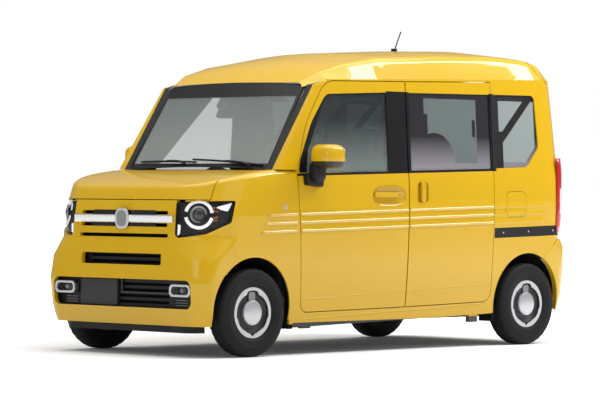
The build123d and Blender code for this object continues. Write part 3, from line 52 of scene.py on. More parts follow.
# The body side, wheel places and windscreen, as in the CAD source
WEDGE = 0.025
HALF_WIDTH, WAIST, SIDE_RADIUS = 0.734, 0.889, 5.574
SHOULDER, BELT, BELT_Y, GUTTER, GUTTER_Y = 1.083, 1.131, 0.723, 1.712, 0.6875
AXLE_X, TRACK_Y, TYRE_RADIUS, ARCH_Z = 1.26, 0.655, 0.2685, 0.285
SCREEN_FOOT_X, SCREEN_FOOT_Z, SCREEN_LEAN = 1.058, 1.128, 0.643

SIDES = ((1, "left"), (-1, "right"))
AHEAD, LEFT, RIGHT, UP, BACK = (1, 0, 0), (0, 1, 0), (0, -1, 0), (0, 0, 1), (-1, 0, 0)


def side_arc(level):
    """Half width of the curved lower part of the body side."""
    return HALF_WIDTH - SIDE_RADIUS + math.sqrt(SIDE_RADIUS**2 - (level - WAIST) ** 2)


def side_y(z, x):
    """Half width of the body side at a height and a place along the car."""
    level = z + WEDGE * x
    if level <= SHOULDER:
        return side_arc(level)
    if level <= BELT:
        return side_arc(SHOULDER) + (level - SHOULDER) / (BELT - SHOULDER) * (BELT_Y - side_arc(SHOULDER))
    return BELT_Y + (level - BELT) / (GUTTER - BELT) * (GUTTER_Y - BELT_Y)


# Materials
COAT_ROUGH, LEAST_ROUGH = 0.04, 0.02
# Data type, two inputs and output of a mix node, for colours and for plain values
COLOR_MIX, VALUE_MIX = ("RGBA", 6, 7, 2), ("FLOAT", 2, 3, 0)


def bsdf_of(mat):
    return mat.node_tree.nodes["Principled BSDF"]


def tune(mat, values):
    """Sets inputs of a material's shader."""
    for key, value in values.items():
        bsdf_of(mat).inputs[key].default_value = value


def node(owner, kind, **values):
    """A new node in a material or world, with its settings and inputs."""
    made = owner.node_tree.nodes.new("ShaderNode" + kind)
    for key, value in values.items():
        if hasattr(made, key):
            setattr(made, key, value)
        else:
            made.inputs[key.replace("_", " ").title()].default_value = value
    return made


def link(owner, a, b):
    owner.node_tree.links.new(a, b)


def grained(name, color, rough, bumps, metal=0.0, coat=0.0, alpha=1.0, specular=0.5):
    """A principled material with bumps: noise scale, strength, height and spread of the roughness."""
    mat = bpy.data.materials.new(name)
    mat.use_nodes = True
    tune(mat, {"Base Color": (*color, 1), "Roughness": rough, "Metallic": metal, "Alpha": alpha})
    tune(mat, {"Coat Weight": coat, "Coat Roughness": COAT_ROUGH, "Specular IOR Level": specular})
    scale, strength, height, rough_spread = bumps
    place = node(mat, "TexCoord")
    speckle = node(mat, "TexNoise", scale=scale, detail=3.0)
    bump = node(mat, "Bump", strength=strength, distance=height)
    link(mat, place.outputs["Object"], speckle.inputs["Vector"])
    link(mat, speckle.outputs["Fac"], bump.inputs["Height"])
    link(mat, bump.outputs["Normal"], bsdf_of(mat).inputs["Normal"])
    if rough_spread:
        low, high = max(rough - rough_spread, LEAST_ROUGH), rough + rough_spread
        varied = node(mat, "MapRange", to_min=low, to_max=high)
        link(mat, speckle.outputs["Fac"], varied.inputs["Value"])
        link(mat, varied.outputs["Result"], bsdf_of(mat).inputs["Roughness"])
    return mat


class Value:
    """A socket to reckon with: each sign makes a math node. Masks are 1 or 0, joined by &, | and ~."""

    def __init__(self, mat, socket):
        self.mat = mat
        self.socket = socket

    def join(self, operation, other):
        """A math node on this value and another one or a number."""
        made = node(self.mat, "Math", operation=operation)
        link(self.mat, self.socket, made.inputs[0])
        if isinstance(other, Value):
            link(self.mat, other.socket, made.inputs[1])
        else:
            made.inputs[1].default_value = other
        return Value(self.mat, made.outputs[0])

    def __add__(self, other):
        return self.join("ADD", other)

    def __mul__(self, other):
        return self.join("MULTIPLY", other)

    __and__ = __mul__

    def __gt__(self, other):
        return self.join("GREATER_THAN", other)

    def __lt__(self, other):
        return self.join("LESS_THAN", other)

    def __or__(self, other):
        return self.join("MAXIMUM", other)

    def __invert__(self):
        return self.join("LESS_THAN", 0.5)

    def __abs__(self):
        return self.join("ABSOLUTE", 0.0)


def axes(mat, kind="Object"):
    """X, Y and Z at rest of a piece's points or, with Normal as kind, of its faces' normals."""
    place = node(mat, "TexCoord")
    split = node(mat, "SeparateXYZ")
    link(mat, place.outputs[kind], split.inputs[0])
    return [Value(mat, socket) for socket in split.outputs]


def within(x, z, x_low, x_high, z_low, z_high):
    """1 inside a rectangle in X and Z."""
    return (x > x_low) & (x < x_high) & (z > z_low) & (z < z_high)


def round_spot(x, z, centre, radius):
    """1 inside a circle in X and Z."""
    dx, dz = x + -centre[0], z + -centre[1]
    return dx * dx + dz * dz < radius * radius


def ahead_of(x, z, p, q):
    """1 where a point lies ahead of the line that runs up from p to q, in X and Z."""
    slope = (q[0] - p[0]) / (q[1] - p[1])
    return x > z * slope + (p[0] - slope * p[1])


def paint_over(mask, color, rough, alpha=None):
    """Another colour, roughness and, where given, alpha where the mask is 1."""
    mat = mask.mat
    changes = [("Base Color", (*color, 1), COLOR_MIX), ("Roughness", rough, VALUE_MIX)]
    if alpha is not None:
        changes.append(("Alpha", alpha, VALUE_MIX))
    for name, value, (kind, first, second, out) in changes:
        socket = bsdf_of(mat).inputs[name]
        mix = node(mat, "Mix", data_type=kind)
        mix.inputs[first].default_value = socket.default_value
        mix.inputs[second].default_value = value
        if socket.is_linked:
            link(mat, socket.links[0].from_socket, mix.inputs[first])
        link(mat, mask.socket, mix.inputs[0])
        link(mat, mix.outputs[out], socket)


def graded(mat, low, high, low_color, high_color):
    """Shades the base colour from one height to another, and hands back the axes."""
    x, y, z = axes(mat)
    ramp = node(mat, "ValToRGB")
    ramp.color_ramp.elements[0].color = (*low_color, 1)
    ramp.color_ramp.elements[1].color = (*high_color, 1)
    place = node(mat, "MapRange", from_min=low, from_max=high)
    link(mat, z.socket, place.inputs["Value"])
    link(mat, place.outputs["Result"], ramp.inputs["Fac"])
    link(mat, ramp.outputs["Color"], bsdf_of(mat).inputs["Base Color"])
    return x, y, z


def make_paint(name):
    """Golden body paint under a clear coat."""
    return grained(name, (0.53, 0.318, 0.004), 0.36, (900.0, 0.012, 0.0004, 0.03), coat=0.6, specular=0.12)


PAINT = make_paint("golden_paint")
RIB_PAINT = make_paint("rib_paint")
tune(RIB_PAINT, {"Coat Weight": 1.0, "Coat IOR": 1.9})
BLACK = grained("black_plastic", (0.008, 0.008, 0.009), 0.5, (700.0, 0.25, 0.0004, 0.08), specular=0.22)
GLOSS_BLACK = grained("gloss_black", (0.006, 0.006, 0.007), 0.12, (500.0, 0.01, 0.0003, 0.03), coat=0.6)
DARK_GREY = grained("dark_grey_plastic", (0.035, 0.036, 0.04), 0.55, (600.0, 0.3, 0.0005, 0.08))
CHROME = grained("chrome", (0.82, 0.83, 0.84), 0.07, (300.0, 0.01, 0.0002, 0.03), 1.0)
SILVER = grained("wheel_silver", (0.5, 0.51, 0.53), 0.34, (700.0, 0.03, 0.0003, 0.05), 0.7, coat=0.2)
GREY_METAL = grained("grey_metal", (0.22, 0.22, 0.23), 0.45, (500.0, 0.05, 0.0004, 0.08), 0.6)
CAST = grained("cast_metal", (0.16, 0.16, 0.165), 0.6, (260.0, 0.6, 0.001, 0.1), 0.7)
DISH = grained("wheel_dish", (0.02, 0.021, 0.024), 0.4, (420.0, 0.1, 0.0004, 0.08), 0.3)
UNDER = grained("underbody_black", (0.007, 0.007, 0.007), 0.8, (120.0, 0.4, 0.001, 0.12), specular=0.08)
STEEL = grained("stained_steel", (0.3, 0.28, 0.25), 0.42, (90.0, 0.1, 0.0005, 0.12), 0.9)
RUBBER = grained("rubber", (0.011, 0.011, 0.011), 0.65, (420.0, 0.25, 0.0005, 0.1), specular=0.15)
CLOTH = grained("seat_cloth", (0.022, 0.023, 0.026), 0.9, (1400.0, 0.6, 0.0008, 0.05), specular=0.2)
AMBER = grained("amber_lens", (0.75, 0.22, 0.01), 0.12, (300.0, 0.05, 0.0004, 0.03), coat=0.8)
RED = grained("red_lens", (0.42, 0.008, 0.01), 0.1, (220.0, 0.06, 0.0006, 0.03), coat=1.0)
LAMP_GREY = grained("marker_lens", (0.42, 0.38, 0.3), 0.15, (220.0, 0.06, 0.0006, 0.03), coat=0.6)
LAMP_BED = grained("lamp_bed", (0.006, 0.006, 0.007), 0.3, (160.0, 0.25, 0.001, 0.1), specular=0.2)
LENS = grained("lamp_cover", (0.1, 0.105, 0.11), 0.03, (60.0, 0.01, 0.0002, 0.0), alpha=0.07, specular=1.0)
MIRROR_GLASS = grained("mirror_glass", (0.8, 0.82, 0.84), 0.03, (40.0, 0.005, 0.0002, 0.0), 1.0)
# White lamp ring with a weak painted glow; the painted highlights in the headlamps use it too
PAINTED_GLOW = grained("glowing_lamp_ring", (0.9, 0.91, 0.93), 0.25, (300.0, 0.02, 0.0003, 0.0), coat=0.5)
tune(PAINTED_GLOW, {"Emission Color": (1, 1, 1, 1), "Emission Strength": 0.12})

# Glass, with its black print
GLASS_GRAIN, PRINT = (20.0, 0.004, 0.0003, 0.0), (0.007, 0.007, 0.008)
SCREEN_PRINT_TOP, SCREEN_PRINT_FOOT, SCREEN_PRINT_SIDE, SCREEN_PRINT_LEAN = 1.592, 1.172, 0.664, -0.05
SAIL_FOOT, SAIL_BEND, SAIL_TIP = (0.811, 1.122), (0.791, 1.257), (0.722, 1.393)
DOOR_PRINT_TOP, DOOR_PRINT_LEAN = 1.622, 0.04
# Low and high X, then low and high Z
SLIDE_PANE, SLIDE_POST = (-0.764, -0.269, 1.19, 1.6), (-0.3, -0.26, 1.19, 1.5)
QUARTER_PANE, QUARTER_POST = (-1.335, -0.985, 1.2, 1.6), (-1.02, -0.93, 1.1, 1.4)
LATCH = (-0.752, -0.722, 1.36, 1.47)
SEAT_SPOT, SEAT_SPOT_RADIUS = (-0.36, 1.19), 0.19
QUARTER_FOOT, QUARTER_TIP = (-1.235, 1.2), (-1.345, 1.31)
BRACE_SLOPE, BRACE_REAR, BRACE_AHEAD, BRACE_END, BRACE_FOOT = 1.055, 0.38, 0.46, -0.93, 1.33
REAR_PRINT_SIDE, REAR_PRINT_TOP, REAR_PRINT_FOOT = 0.5, 1.61, 1.225


def make_screen():
    """Pale windscreen with its black edge print, deeper at the top."""
    mat = grained("windscreen_glass", (0.42, 0.47, 0.45), 0.03, GLASS_GRAIN, alpha=0.2, specular=0.25)
    x, y, z = graded(mat, 1.14, 1.62, (0.62, 0.68, 0.65), (0.36, 0.41, 0.39))
    sides = abs(y) > z * SCREEN_PRINT_LEAN + SCREEN_PRINT_SIDE
    paint_over((z > SCREEN_PRINT_TOP) | (z < SCREEN_PRINT_FOOT) | sides, PRINT, 0.4, 1.0)
    return mat


def make_door_glass():
    """Clear door glass, paler low down, with a black corner panel at its front and a black top edge."""
    mat = grained("door_glass", (0.05, 0.062, 0.06), 0.03, GLASS_GRAIN, alpha=0.32, specular=0.4)
    x, y, z = graded(mat, 1.13, 1.45, (0.3, 0.36, 0.35), (0.05, 0.062, 0.064))
    low = ahead_of(x, z, SAIL_FOOT, SAIL_BEND) & (z < SAIL_BEND[1])
    high = ahead_of(x, z, SAIL_BEND, SAIL_TIP) & (z > SAIL_BEND[1])
    paint_over(low | high | (x * DOOR_PRINT_LEAN + z > DOOR_PRINT_TOP), PRINT, 0.25, 1.0)
    return mat


def make_privacy_glass():
    """Side glass of the rear: dark print, purple-grey low down, two clearer panes and the quarter's brace."""
    mat = grained("privacy_glass", (0.018, 0.017, 0.02), 0.05, GLASS_GRAIN, alpha=0.97, specular=0.5)
    x, y, z = graded(mat, 1.16, 1.36, (0.21, 0.2, 0.225), (0.022, 0.02, 0.024))
    seat_back = round_spot(x, z, SEAT_SPOT, SEAT_SPOT_RADIUS)
    slide = within(x, z, *SLIDE_PANE) & ~within(x, z, *SLIDE_POST) & ~seat_back
    quarter = within(x, z, *QUARTER_PANE) & ahead_of(x, z, QUARTER_FOOT, QUARTER_TIP)
    paint_over(slide, (0.13, 0.16, 0.155), 0.03, 0.8)
    paint_over(quarter, (0.25, 0.29, 0.285), 0.03, 0.85)
    lean = z * BRACE_SLOPE + x
    brace = (lean > BRACE_REAR) & (lean < BRACE_AHEAD) & (x < BRACE_END) & (z > BRACE_FOOT)
    paint_over(brace | within(x, z, *LATCH) | within(x, z, *QUARTER_POST), PRINT, 0.3, 1.0)
    return mat


def make_rear_glass():
    """Dark rear glass with a black edge."""
    mat = grained("rear_glass", (0.02, 0.022, 0.024), 0.04, GLASS_GRAIN, alpha=0.86, specular=0.5)
    x, y, z = axes(mat)
    edge = (abs(y) > REAR_PRINT_SIDE) | (z > REAR_PRINT_TOP) | (z < REAR_PRINT_FOOT)
    paint_over(edge, PRINT, 0.3, 1.0)
    return mat


REAR_GLASS = make_rear_glass()
SCREEN = make_screen()
DOOR_GLASS = make_door_glass()
PRIVACY = make_privacy_glass()

# Painted panels: black marks outside, trim inside
TRIM, LINING, INNER_BLACK = (0.17, 0.17, 0.175), (0.4, 0.39, 0.37), (0.01, 0.01, 0.01)
MARK_BLACK, WELL_BLACK, MIRROR_BLACK = (0.012, 0.012, 0.012), (0.008, 0.008, 0.008), (0.012, 0.012, 0.013)
WHITE_LENS, PLATE_GREY, TRIM_ROUGH = (0.72, 0.7, 0.7), (0.036, 0.037, 0.041), 0.8
FACING, FACING_IN = 0.35, -0.2
FRAME_SKIN, FRAME_FOOT, FRAME_REAR, HEADER_FOOT = 0.016, 1.14, -1.38, 1.4
TAPE_X, TAPE_FOOT, TAPE_TOP = (-0.127, 0.088), 1.1305, 1.636
SEAL_X, SEAL_DOWN, SEAL_RISE = (-1.0, 0.905), -0.012, 0.004
POST_X, POST_AHEAD, POST_TOP = (-0.937, -0.9), -0.884, 1.644
PILLAR_FOOT, PILLAR_INNER_Y, PILLAR_REAR, PILLAR_BACK, PILLAR_DEPTH = 1.135, 0.67, 0.55, 0.45, 0.058
SILL_FOOT, WELL_SKIN, WELL_RADIUS, MIRROR_FOOT_TOP = 0.198, 0.011, 0.36, 1.187
REVERSING_FOOT, REVERSING_TOP, REVERSING_AHEAD = 0.865, 1.03, -1.57
PLATE_FACE, PLATE_RIGHT, PLATE_LEFT, PLATE_FOOT = 1.645, -0.406, -0.07, 0.29


def inside(mat, axis, sign=0.0):
    """1 on faces that look inwards: against their own side for Y, or along sign for X and Z."""
    normal = axes(mat, "Normal")[axis]
    if sign:
        return normal * sign > FACING
    return normal * axes(mat)[axis] < FACING_IN


def deep(x, y, z):
    """1 on window frames and pillars behind their outer skin, ahead of the rear corner."""
    lean = (BELT_Y - GUTTER_Y) / (GUTTER - BELT)
    sunk = abs(y) < z * -lean + (BELT_Y - FRAME_SKIN + lean * BELT)
    behind = x < z * -SCREEN_LEAN + (SCREEN_FOOT_X - PILLAR_DEPTH + SCREEN_LEAN * SCREEN_FOOT_Z)
    return sunk & behind & (z > FRAME_FOOT) & (x > FRAME_REAR)


def header(z):
    """1 on the under faces above the windows."""
    return inside(z.mat, 2, -1.0) & (z > HEADER_FOOT)


def well(x, y, z):
    """1 inside the wheel openings, behind the outer skin."""
    lift = z + -WAIST
    sunk = abs(y) < lift * lift * (-0.5 / SIDE_RADIUS) + (HALF_WIDTH - WELL_SKIN)
    front, rear = (round_spot(x, z, (axle, ARCH_Z), WELL_RADIUS) for axle in (AXLE_X, -AXLE_X))
    return sunk & (front | rear)


def side_marks(x, y, z):
    """The body side's black: sill foot, windscreen pillar, post ahead of the quarter glass, hollows."""
    pillar = (z > PILLAR_FOOT) & (abs(y) < PILLAR_INNER_Y) & (x > PILLAR_REAR)
    back = inside(z.mat, 0, -1.0) & (z > PILLAR_FOOT) & (x > PILLAR_BACK)
    post = within(x, z, *POST_X, FRAME_FOOT, POST_TOP)
    return (z < SILL_FOOT) | pillar | post | back | header(z) | well(x, y, z) | deep(x, y, z)


def mirror_foot(x, y, z):
    return z < MIRROR_FOOT_TOP


def reversing_field(x, y, z):
    return (z > REVERSING_FOOT) & (z < REVERSING_TOP) & (x < REVERSING_AHEAD)


def plate_panel(x, y, z):
    return (x > PLATE_FACE) & (y > PLATE_RIGHT) & (y < PLATE_LEFT) & (z > PLATE_FOOT)


def make_lined(name, axis, sign, color):
    """Body paint outside, trim inside."""
    mat = make_paint(name)
    paint_over(inside(mat, axis, sign), color, TRIM_ROUGH)
    return mat


def make_door_paint():
    """Body paint with black tape between the doors, a seal along the belt and the rear post."""
    mat = make_lined("door_paint", 1, 0.0, TRIM)
    x, y, z = axes(mat)
    low = x * -WEDGE + TAPE_FOOT
    tape = within(x, z, *TAPE_X, low, TAPE_TOP)
    seal = within(x, z, *SEAL_X, low + SEAL_DOWN, low + SEAL_RISE)
    post = (x < POST_AHEAD) & (z > FRAME_FOOT) & (z < POST_TOP)
    paint_over(tape | seal | post | header(z) | deep(x, y, z), PRINT, 0.3)
    return mat


def make_masked(name, source, mask_of, color, rough):
    """A copy of a material with another colour inside a mask of X, Y and Z."""
    mat = source.copy()
    mat.name = name
    paint_over(mask_of(*axes(mat)), color, rough)
    return mat


DOOR_PAINT = make_door_paint()
SIDE_PAINT = make_masked("side_paint", make_lined("side_lined", 1, 0.0, TRIM), side_marks, MARK_BLACK, 0.5)
FENDER_LINED = make_lined("fender_lined", 1, 0.0, INNER_BLACK)
FENDER_PAINT = make_masked("fender_paint", FENDER_LINED, well, WELL_BLACK, 0.7)
ROOF_PAINT = make_lined("roof_paint", 2, -1.0, LINING)
paint_over(inside(ROOF_PAINT, 1), LINING, TRIM_ROUGH)
GATE_PAINT = make_lined("gate_paint", 0, 1.0, TRIM)
MIRROR_PAINT = make_masked("mirror_paint", PAINT, mirror_foot, MIRROR_BLACK, 0.4)
LAMP_RED = make_masked("tail_lens", RED, reversing_field, WHITE_LENS, 0.12)
INSERT = make_masked("insert_black", BLACK, plate_panel, PLATE_GREY, 0.6)

# Making pieces
PANEL_BEVEL, PANEL_ANGLE, FINE_WELD = 0.002, 0.6, 1e-6
# Body and slot of the fixed trim
TRIM_SLOTS = ("yellow_paint", "black_plastic", "dark_plastic", "chrome_trim", "lamp_lens", "red_lens")
YELLOW_TRIM, BLACK_TRIM, DARK_TRIM, BRIGHT_TRIM, LAMP_TRIM, RED_TRIM = (("body", slot) for slot in TRIM_SLOTS)
WELD, FLAT, SHARP = 2e-5, 0.002, 0.55


def dress(mesh, mat):
    """Gives a mesh its one material."""
    mesh.materials.clear()
    mesh.materials.append(mat)


def piece(name, mesh, mat, body, slot):
    """Puts a finished mesh on a body with its material."""
    made = bpy.data.objects.new(name, mesh)
    bpy.context.scene.collection.objects.link(made)
    dress(made.data, mat)
    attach(made, body)
    return made


def bake(made):
    """Applies a piece's modifiers."""
    shown = made.evaluated_get(bpy.context.evaluated_depsgraph_get())
    mesh = bpy.data.meshes.new_from_object(shown)
    made.modifiers.clear()
    old = made.data
    made.data = mesh
    bpy.data.meshes.remove(old)


def soften(made, width, angle=math.radians(30)):
    """Rounds the edges that turn more than the angle."""
    soft = made.modifiers.new("soft", "BEVEL")
    soft.width = width
    soft.segments = 2
    soft.limit_method = "ANGLE"
    soft.angle_limit = angle
    soft.harden_normals = True


def thicken(made, thickness, offset=0.0):
    """Gives a sheet its thickness."""
    solid = made.modifiers.new("thick", "SOLIDIFY")
    solid.thickness = thickness
    solid.offset = offset


def smooth_mesh(work, name, angle):
    """A mesh from work in hand, smooth but for edges that turn more than the angle."""
    for face in work.faces:
        face.smooth = True
    for edge in work.edges:
        edge.smooth = edge.calc_face_angle(0.0) < angle
    mesh = bpy.data.meshes.new(name)
    work.to_mesh(mesh)
    work.free()
    return mesh


def panel(name, mat):
    """A welded copy of a CAD node, smooth but for its sharp, softened edges, shown in its place."""
    work = bmesh.new()
    work.from_mesh(nodes[name].data)
    bmesh.ops.remove_doubles(work, verts=work.verts, dist=WELD)
    bmesh.ops.dissolve_limit(work, angle_limit=FLAT, verts=work.verts, edges=work.edges)
    mesh = smooth_mesh(work, name + "_skin", SHARP)
    if "custom_normal" in mesh.attributes:
        mesh.attributes.remove(mesh.attributes["custom_normal"])
    made = piece(name + "_skin", mesh, mat, node_body[name], slot_of[name])
    soften(made, PANEL_BEVEL, PANEL_ANGLE)
    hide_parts(name)
    return made


# Shapes for the trim
def spread(start, end, steps):
    """Even values from start to end."""
    return [start + (end - start) * k / steps for k in range(steps + 1)]


def arc(centre, radius, start, end, steps, stretch=(1.0, 1.0)):
    """Points on a round or stretched arc between two angles in degrees."""
    turns = [math.radians(turn) for turn in spread(start, end, steps)]
    a, b = (radius * share for share in stretch)
    return [(centre[0] + a * math.cos(t), centre[1] + b * math.sin(t)) for t in turns]


def shaped(name, verts, faces, mat, body, slot, bevel=0.0, angle=0.6):
    """A piece from corners and faces, welded, with smooth faces and sharp edges."""
    work = bmesh.new()
    made = [work.verts.new(v) for v in verts]
    for face in faces:
        work.faces.new([made[i] for i in face])
    bmesh.ops.remove_doubles(work, verts=work.verts, dist=FINE_WELD)
    bmesh.ops.recalc_face_normals(work, faces=work.faces)
    whole = piece(name, smooth_mesh(work, name, angle), mat, body, slot)
    if bevel:
        soften(whole, bevel)
    return whole


def carried(outline, origin, u, v, depth):
    """An outline in the plane of u and v, and again where it ends along their normal."""
    origin, u, v = Vector(origin), Vector(u).normalized(), Vector(v).normalized()
    low = [origin + u * a + v * b for a, b in outline]
    out = u.cross(v) * depth
    return low + [corner + out for corner in low]


def slab(name, outline, origin, u, v, depth, mat, body, slot, bevel=0.0015):
    """An outline in the plane of u and v, carried along their normal."""
    count = len(outline)
    sides = [(i, (i + 1) % count, count + (i + 1) % count, count + i) for i in range(count)]
    faces = [tuple(reversed(range(count))), tuple(range(count, 2 * count)), *sides]
    return shaped(name, carried(outline, origin, u, v, depth), faces, mat, body, slot, bevel)


def band(name, outer, inner, origin, u, v, depth, mat, body, slot, bevel):
    """A flat ring between two outlines with equally many points."""
    count = len(outer)
    top = 2 * count
    faces = []
    for i in range(count):
        j = (i + 1) % count
        a, b, c, d = i, j, count + j, count + i
        faces += [(d, c, b, a), (a + top, b + top, c + top, d + top)]
        faces += [(a, b, b + top, a + top), (c, d, d + top, c + top)]
    return shaped(name, carried(outer + inner, origin, u, v, depth), faces, mat, body, slot, bevel)


def lathe(name, profile, centre, axis, mat, body, slot, steps=48, warp=None, closed=False):
    """Turns radius and distance pairs about an axis. warp may change a radius by step."""
    centre, axis = Vector(centre), Vector(axis).normalized()
    up = Vector(UP)
    side = axis.cross(up).normalized()
    verts, faces, count = [], [], len(profile)
    for k in range(steps):
        turn = 2 * math.pi * k / steps
        ray = up * math.cos(turn) + side * math.sin(turn)
        for radius, along in profile:
            verts.append(centre + axis * along + ray * (warp(k, radius, along) if warp else radius))
    runs = count if closed else count - 1
    for k in range(steps):
        for i in range(runs):
            j = (i + 1) % count
            a, b = k * count, (k + 1) % steps * count
            faces.append((a + i, a + j, b + j, b + i))
    return shaped(name, verts, faces, mat, body, slot)


def rod(name, points, radius, mat, body, slot):
    """A round bar along a line of points."""
    route = bpy.data.curves.new(name, "CURVE")
    route.dimensions = "3D"
    route.bevel_depth = radius
    route.bevel_resolution = 2
    route.use_fill_caps = True
    spline = route.splines.new("POLY")
    spline.points.add(len(points) - 1)
    for point, place in zip(spline.points, points):
        point.co = (*place, 1)
    holder = bpy.data.objects.new(name, route)
    mesh = bpy.data.meshes.new_from_object(holder)
    bpy.data.objects.remove(holder)
    bpy.data.curves.remove(route)
    for face in mesh.polygons:
        face.use_smooth = True
    return piece(name, mesh, mat, body, slot)


def rounded(width, height, radius, steps=6):
    """Corner points of a rounded rectangle about its middle, turning left."""
    points = []
    for turn, (sx, sy) in enumerate(((1, 1), (-1, 1), (-1, -1), (1, -1))):
        for k in range(steps + 1):
            angle = math.pi / 2 * (turn + k / steps)
            a = sx * (width / 2 - radius) + radius * math.cos(angle)
            points.append((a, sy * (height / 2 - radius) + radius * math.sin(angle)))
    return points


def plate(name, size, place, across, depth, mat, body, slot, bevel=0.0015, rise=UP):
    """A slab with rounded corners, from its width, height and corner radius."""
    return slab(name, rounded(*size), place, across, rise, depth, mat, body, slot, bevel)


def egg(name, centre, radii, power):
    """An ellipsoid, boxier with a lower power, as a bare mesh."""
    work = bmesh.new()
    bmesh.ops.create_uvsphere(work, u_segments=48, v_segments=24, radius=1.0)
    for vert in work.verts:
        shape = [math.copysign(abs(a) ** power, a) * b for a, b in zip(vert.co, radii)]
        vert.co = Vector(centre) + Vector(shape)
    return smooth_mesh(work, name, math.pi)


def cut(target, name, *sizes):
    """Takes an egg's volume out of a piece."""
    taken = bpy.data.objects.new(name, egg(name, *sizes))
    bpy.context.scene.collection.objects.link(taken)
    knife = target.modifiers.new("cut", "BOOLEAN")
    knife.operation = "DIFFERENCE"
    knife.solver = "EXACT"
    knife.object = taken
    target.modifiers.move(len(target.modifiers) - 1, 0)
    bake(target)
    bpy.data.objects.remove(taken)


def on_side(x, z, out, side):
    """A point on the body side, or a little outside it."""
    return Vector((x, side * (side_y(z, x) + out), z))


# Height, front x and corner radius of the nose, as in the CAD source
NOSE_LEVELS = [
    (0.19, 1.662, 0.11), (0.3, 1.69, 0.105), (0.45, 1.6975, 0.105), (0.6, 1.694, 0.165),
    (0.715, 1.676, 0.285), (0.85, 1.668, 0.27), (0.96, 1.652, 0.33), (1.15, 1.6, 0.345),
]
NOSE_REAR = 0.905
CORNER_X_LOW, CORNER_X_HIGH, CORNER_HALVINGS = 1.0, 1.75, 30
PATCH_STEPS, PATCH_RINGS, PATCH_THICK = 8, (1.0, 0.8, 0.6, 0.4, 0.2), 0.003


def nose_x(y, z):
    """Front face of the nose at a width and a height."""
    for (z0, x0, r0), (z1, x1, r1) in zip(NOSE_LEVELS, NOSE_LEVELS[1:]):
        if z <= z1:
            break
    share = (z - z0) / (z1 - z0)
    tip = x0 + share * (x1 - x0)
    radius = r0 + share * (r1 - r0)
    over = abs(y) - (side_y(z, (tip + NOSE_REAR) / 2) - radius)
    if over <= 0:
        return tip
    return tip - radius + math.sqrt(max(radius**2 - over**2, 0.0))


def corner_point(u, z, depth, side):
    """A point on the front corner, where u runs across it as seen from 45 degrees, sunk in by depth."""
    low, high = CORNER_X_LOW, CORNER_X_HIGH
    for _ in range(CORNER_HALVINGS):
        x = (low + high) / 2
        if x < nose_x(x + math.sqrt(2) * u, z):
            low = x
        else:
            high = x
    sunk = depth / math.sqrt(2)
    return Vector((x - sunk, side * (x + math.sqrt(2) * u - sunk), z))


def corner_patch(name, outline, depth, side, mat):
    """A sheet behind the headlamp's lens with an outline given across the corner."""
    edge = []
    for (u0, z0), (u1, z1) in zip(outline, outline[1:] + outline[:1]):
        edge += list(zip(spread(u0, u1, PATCH_STEPS), spread(z0, z1, PATCH_STEPS)))[:-1]
    count, rings = len(edge), len(PATCH_RINGS)
    cu = sum(u for u, _ in edge) / count
    cz = sum(z for _, z in edge) / count
    verts = [
        corner_point(cu + (u - cu) * s, cz + (z - cz) * s, depth, side) for s in PATCH_RINGS for u, z in edge
    ]
    faces = []
    for start in range(0, (rings - 1) * count, count):
        for i in range(count):
            j = (i + 1) % count
            faces.append((start + i, start + j, start + count + j, start + count + i))
    faces.append(tuple((rings - 1) * count + i for i in range(count)))
    made = shaped(name, verts, faces, mat, *LAMP_TRIM)
    thicken(made, PATCH_THICK)


# Painted panels, and the looks of the CAD nodes that are shown as they are
PAINTED = (
    (PAINT, "front_bumper grille_panel bonnet fuel_lid rear_bumper"),
    (FENDER_PAINT, "front_fenders"),
    (ROOF_PAINT, "roof_panel"),
    (GATE_PAINT, "tailgate"),
    (SIDE_PAINT, "body_side_left body_side_right"),
    (DOOR_PAINT, "front_door_left front_door_right sliding_doors"),
)
CAD_LOOKS = (
    (SCREEN, "windscreen"),
    (DOOR_GLASS, "front_glass_left front_glass_right"),
    (PRIVACY, "side_glass"),
    (REAR_GLASS, "tailgate_glass"),
    (LENS, "front_lamps"),
    (LAMP_RED, "tail_lamps"),
    (CHROME, "grille_bar"),
    (INSERT, "lower_grille"),
    (BLACK, "door_rails cowl_panel antenna"),
    (DARK_GREY, "dashboard steering_wheel"),
    (CLOTH, "seats"),
    (UNDER, "floor_pan front_subframe rear_axle fuel_tank"),
    (CAST, "engine_block knuckle_left knuckle_right"),
    (STEEL, "exhaust"),
    (DISH, "wheel_front_left wheel_front_right wheel_rear_left wheel_rear_right"),
)
skins = {name: panel(name, mat) for mat, names in PAINTED for name in names.split()}
for mat, names in CAD_LOOKS:
    for name in names.split():
        dress(nodes[name].data, mat)

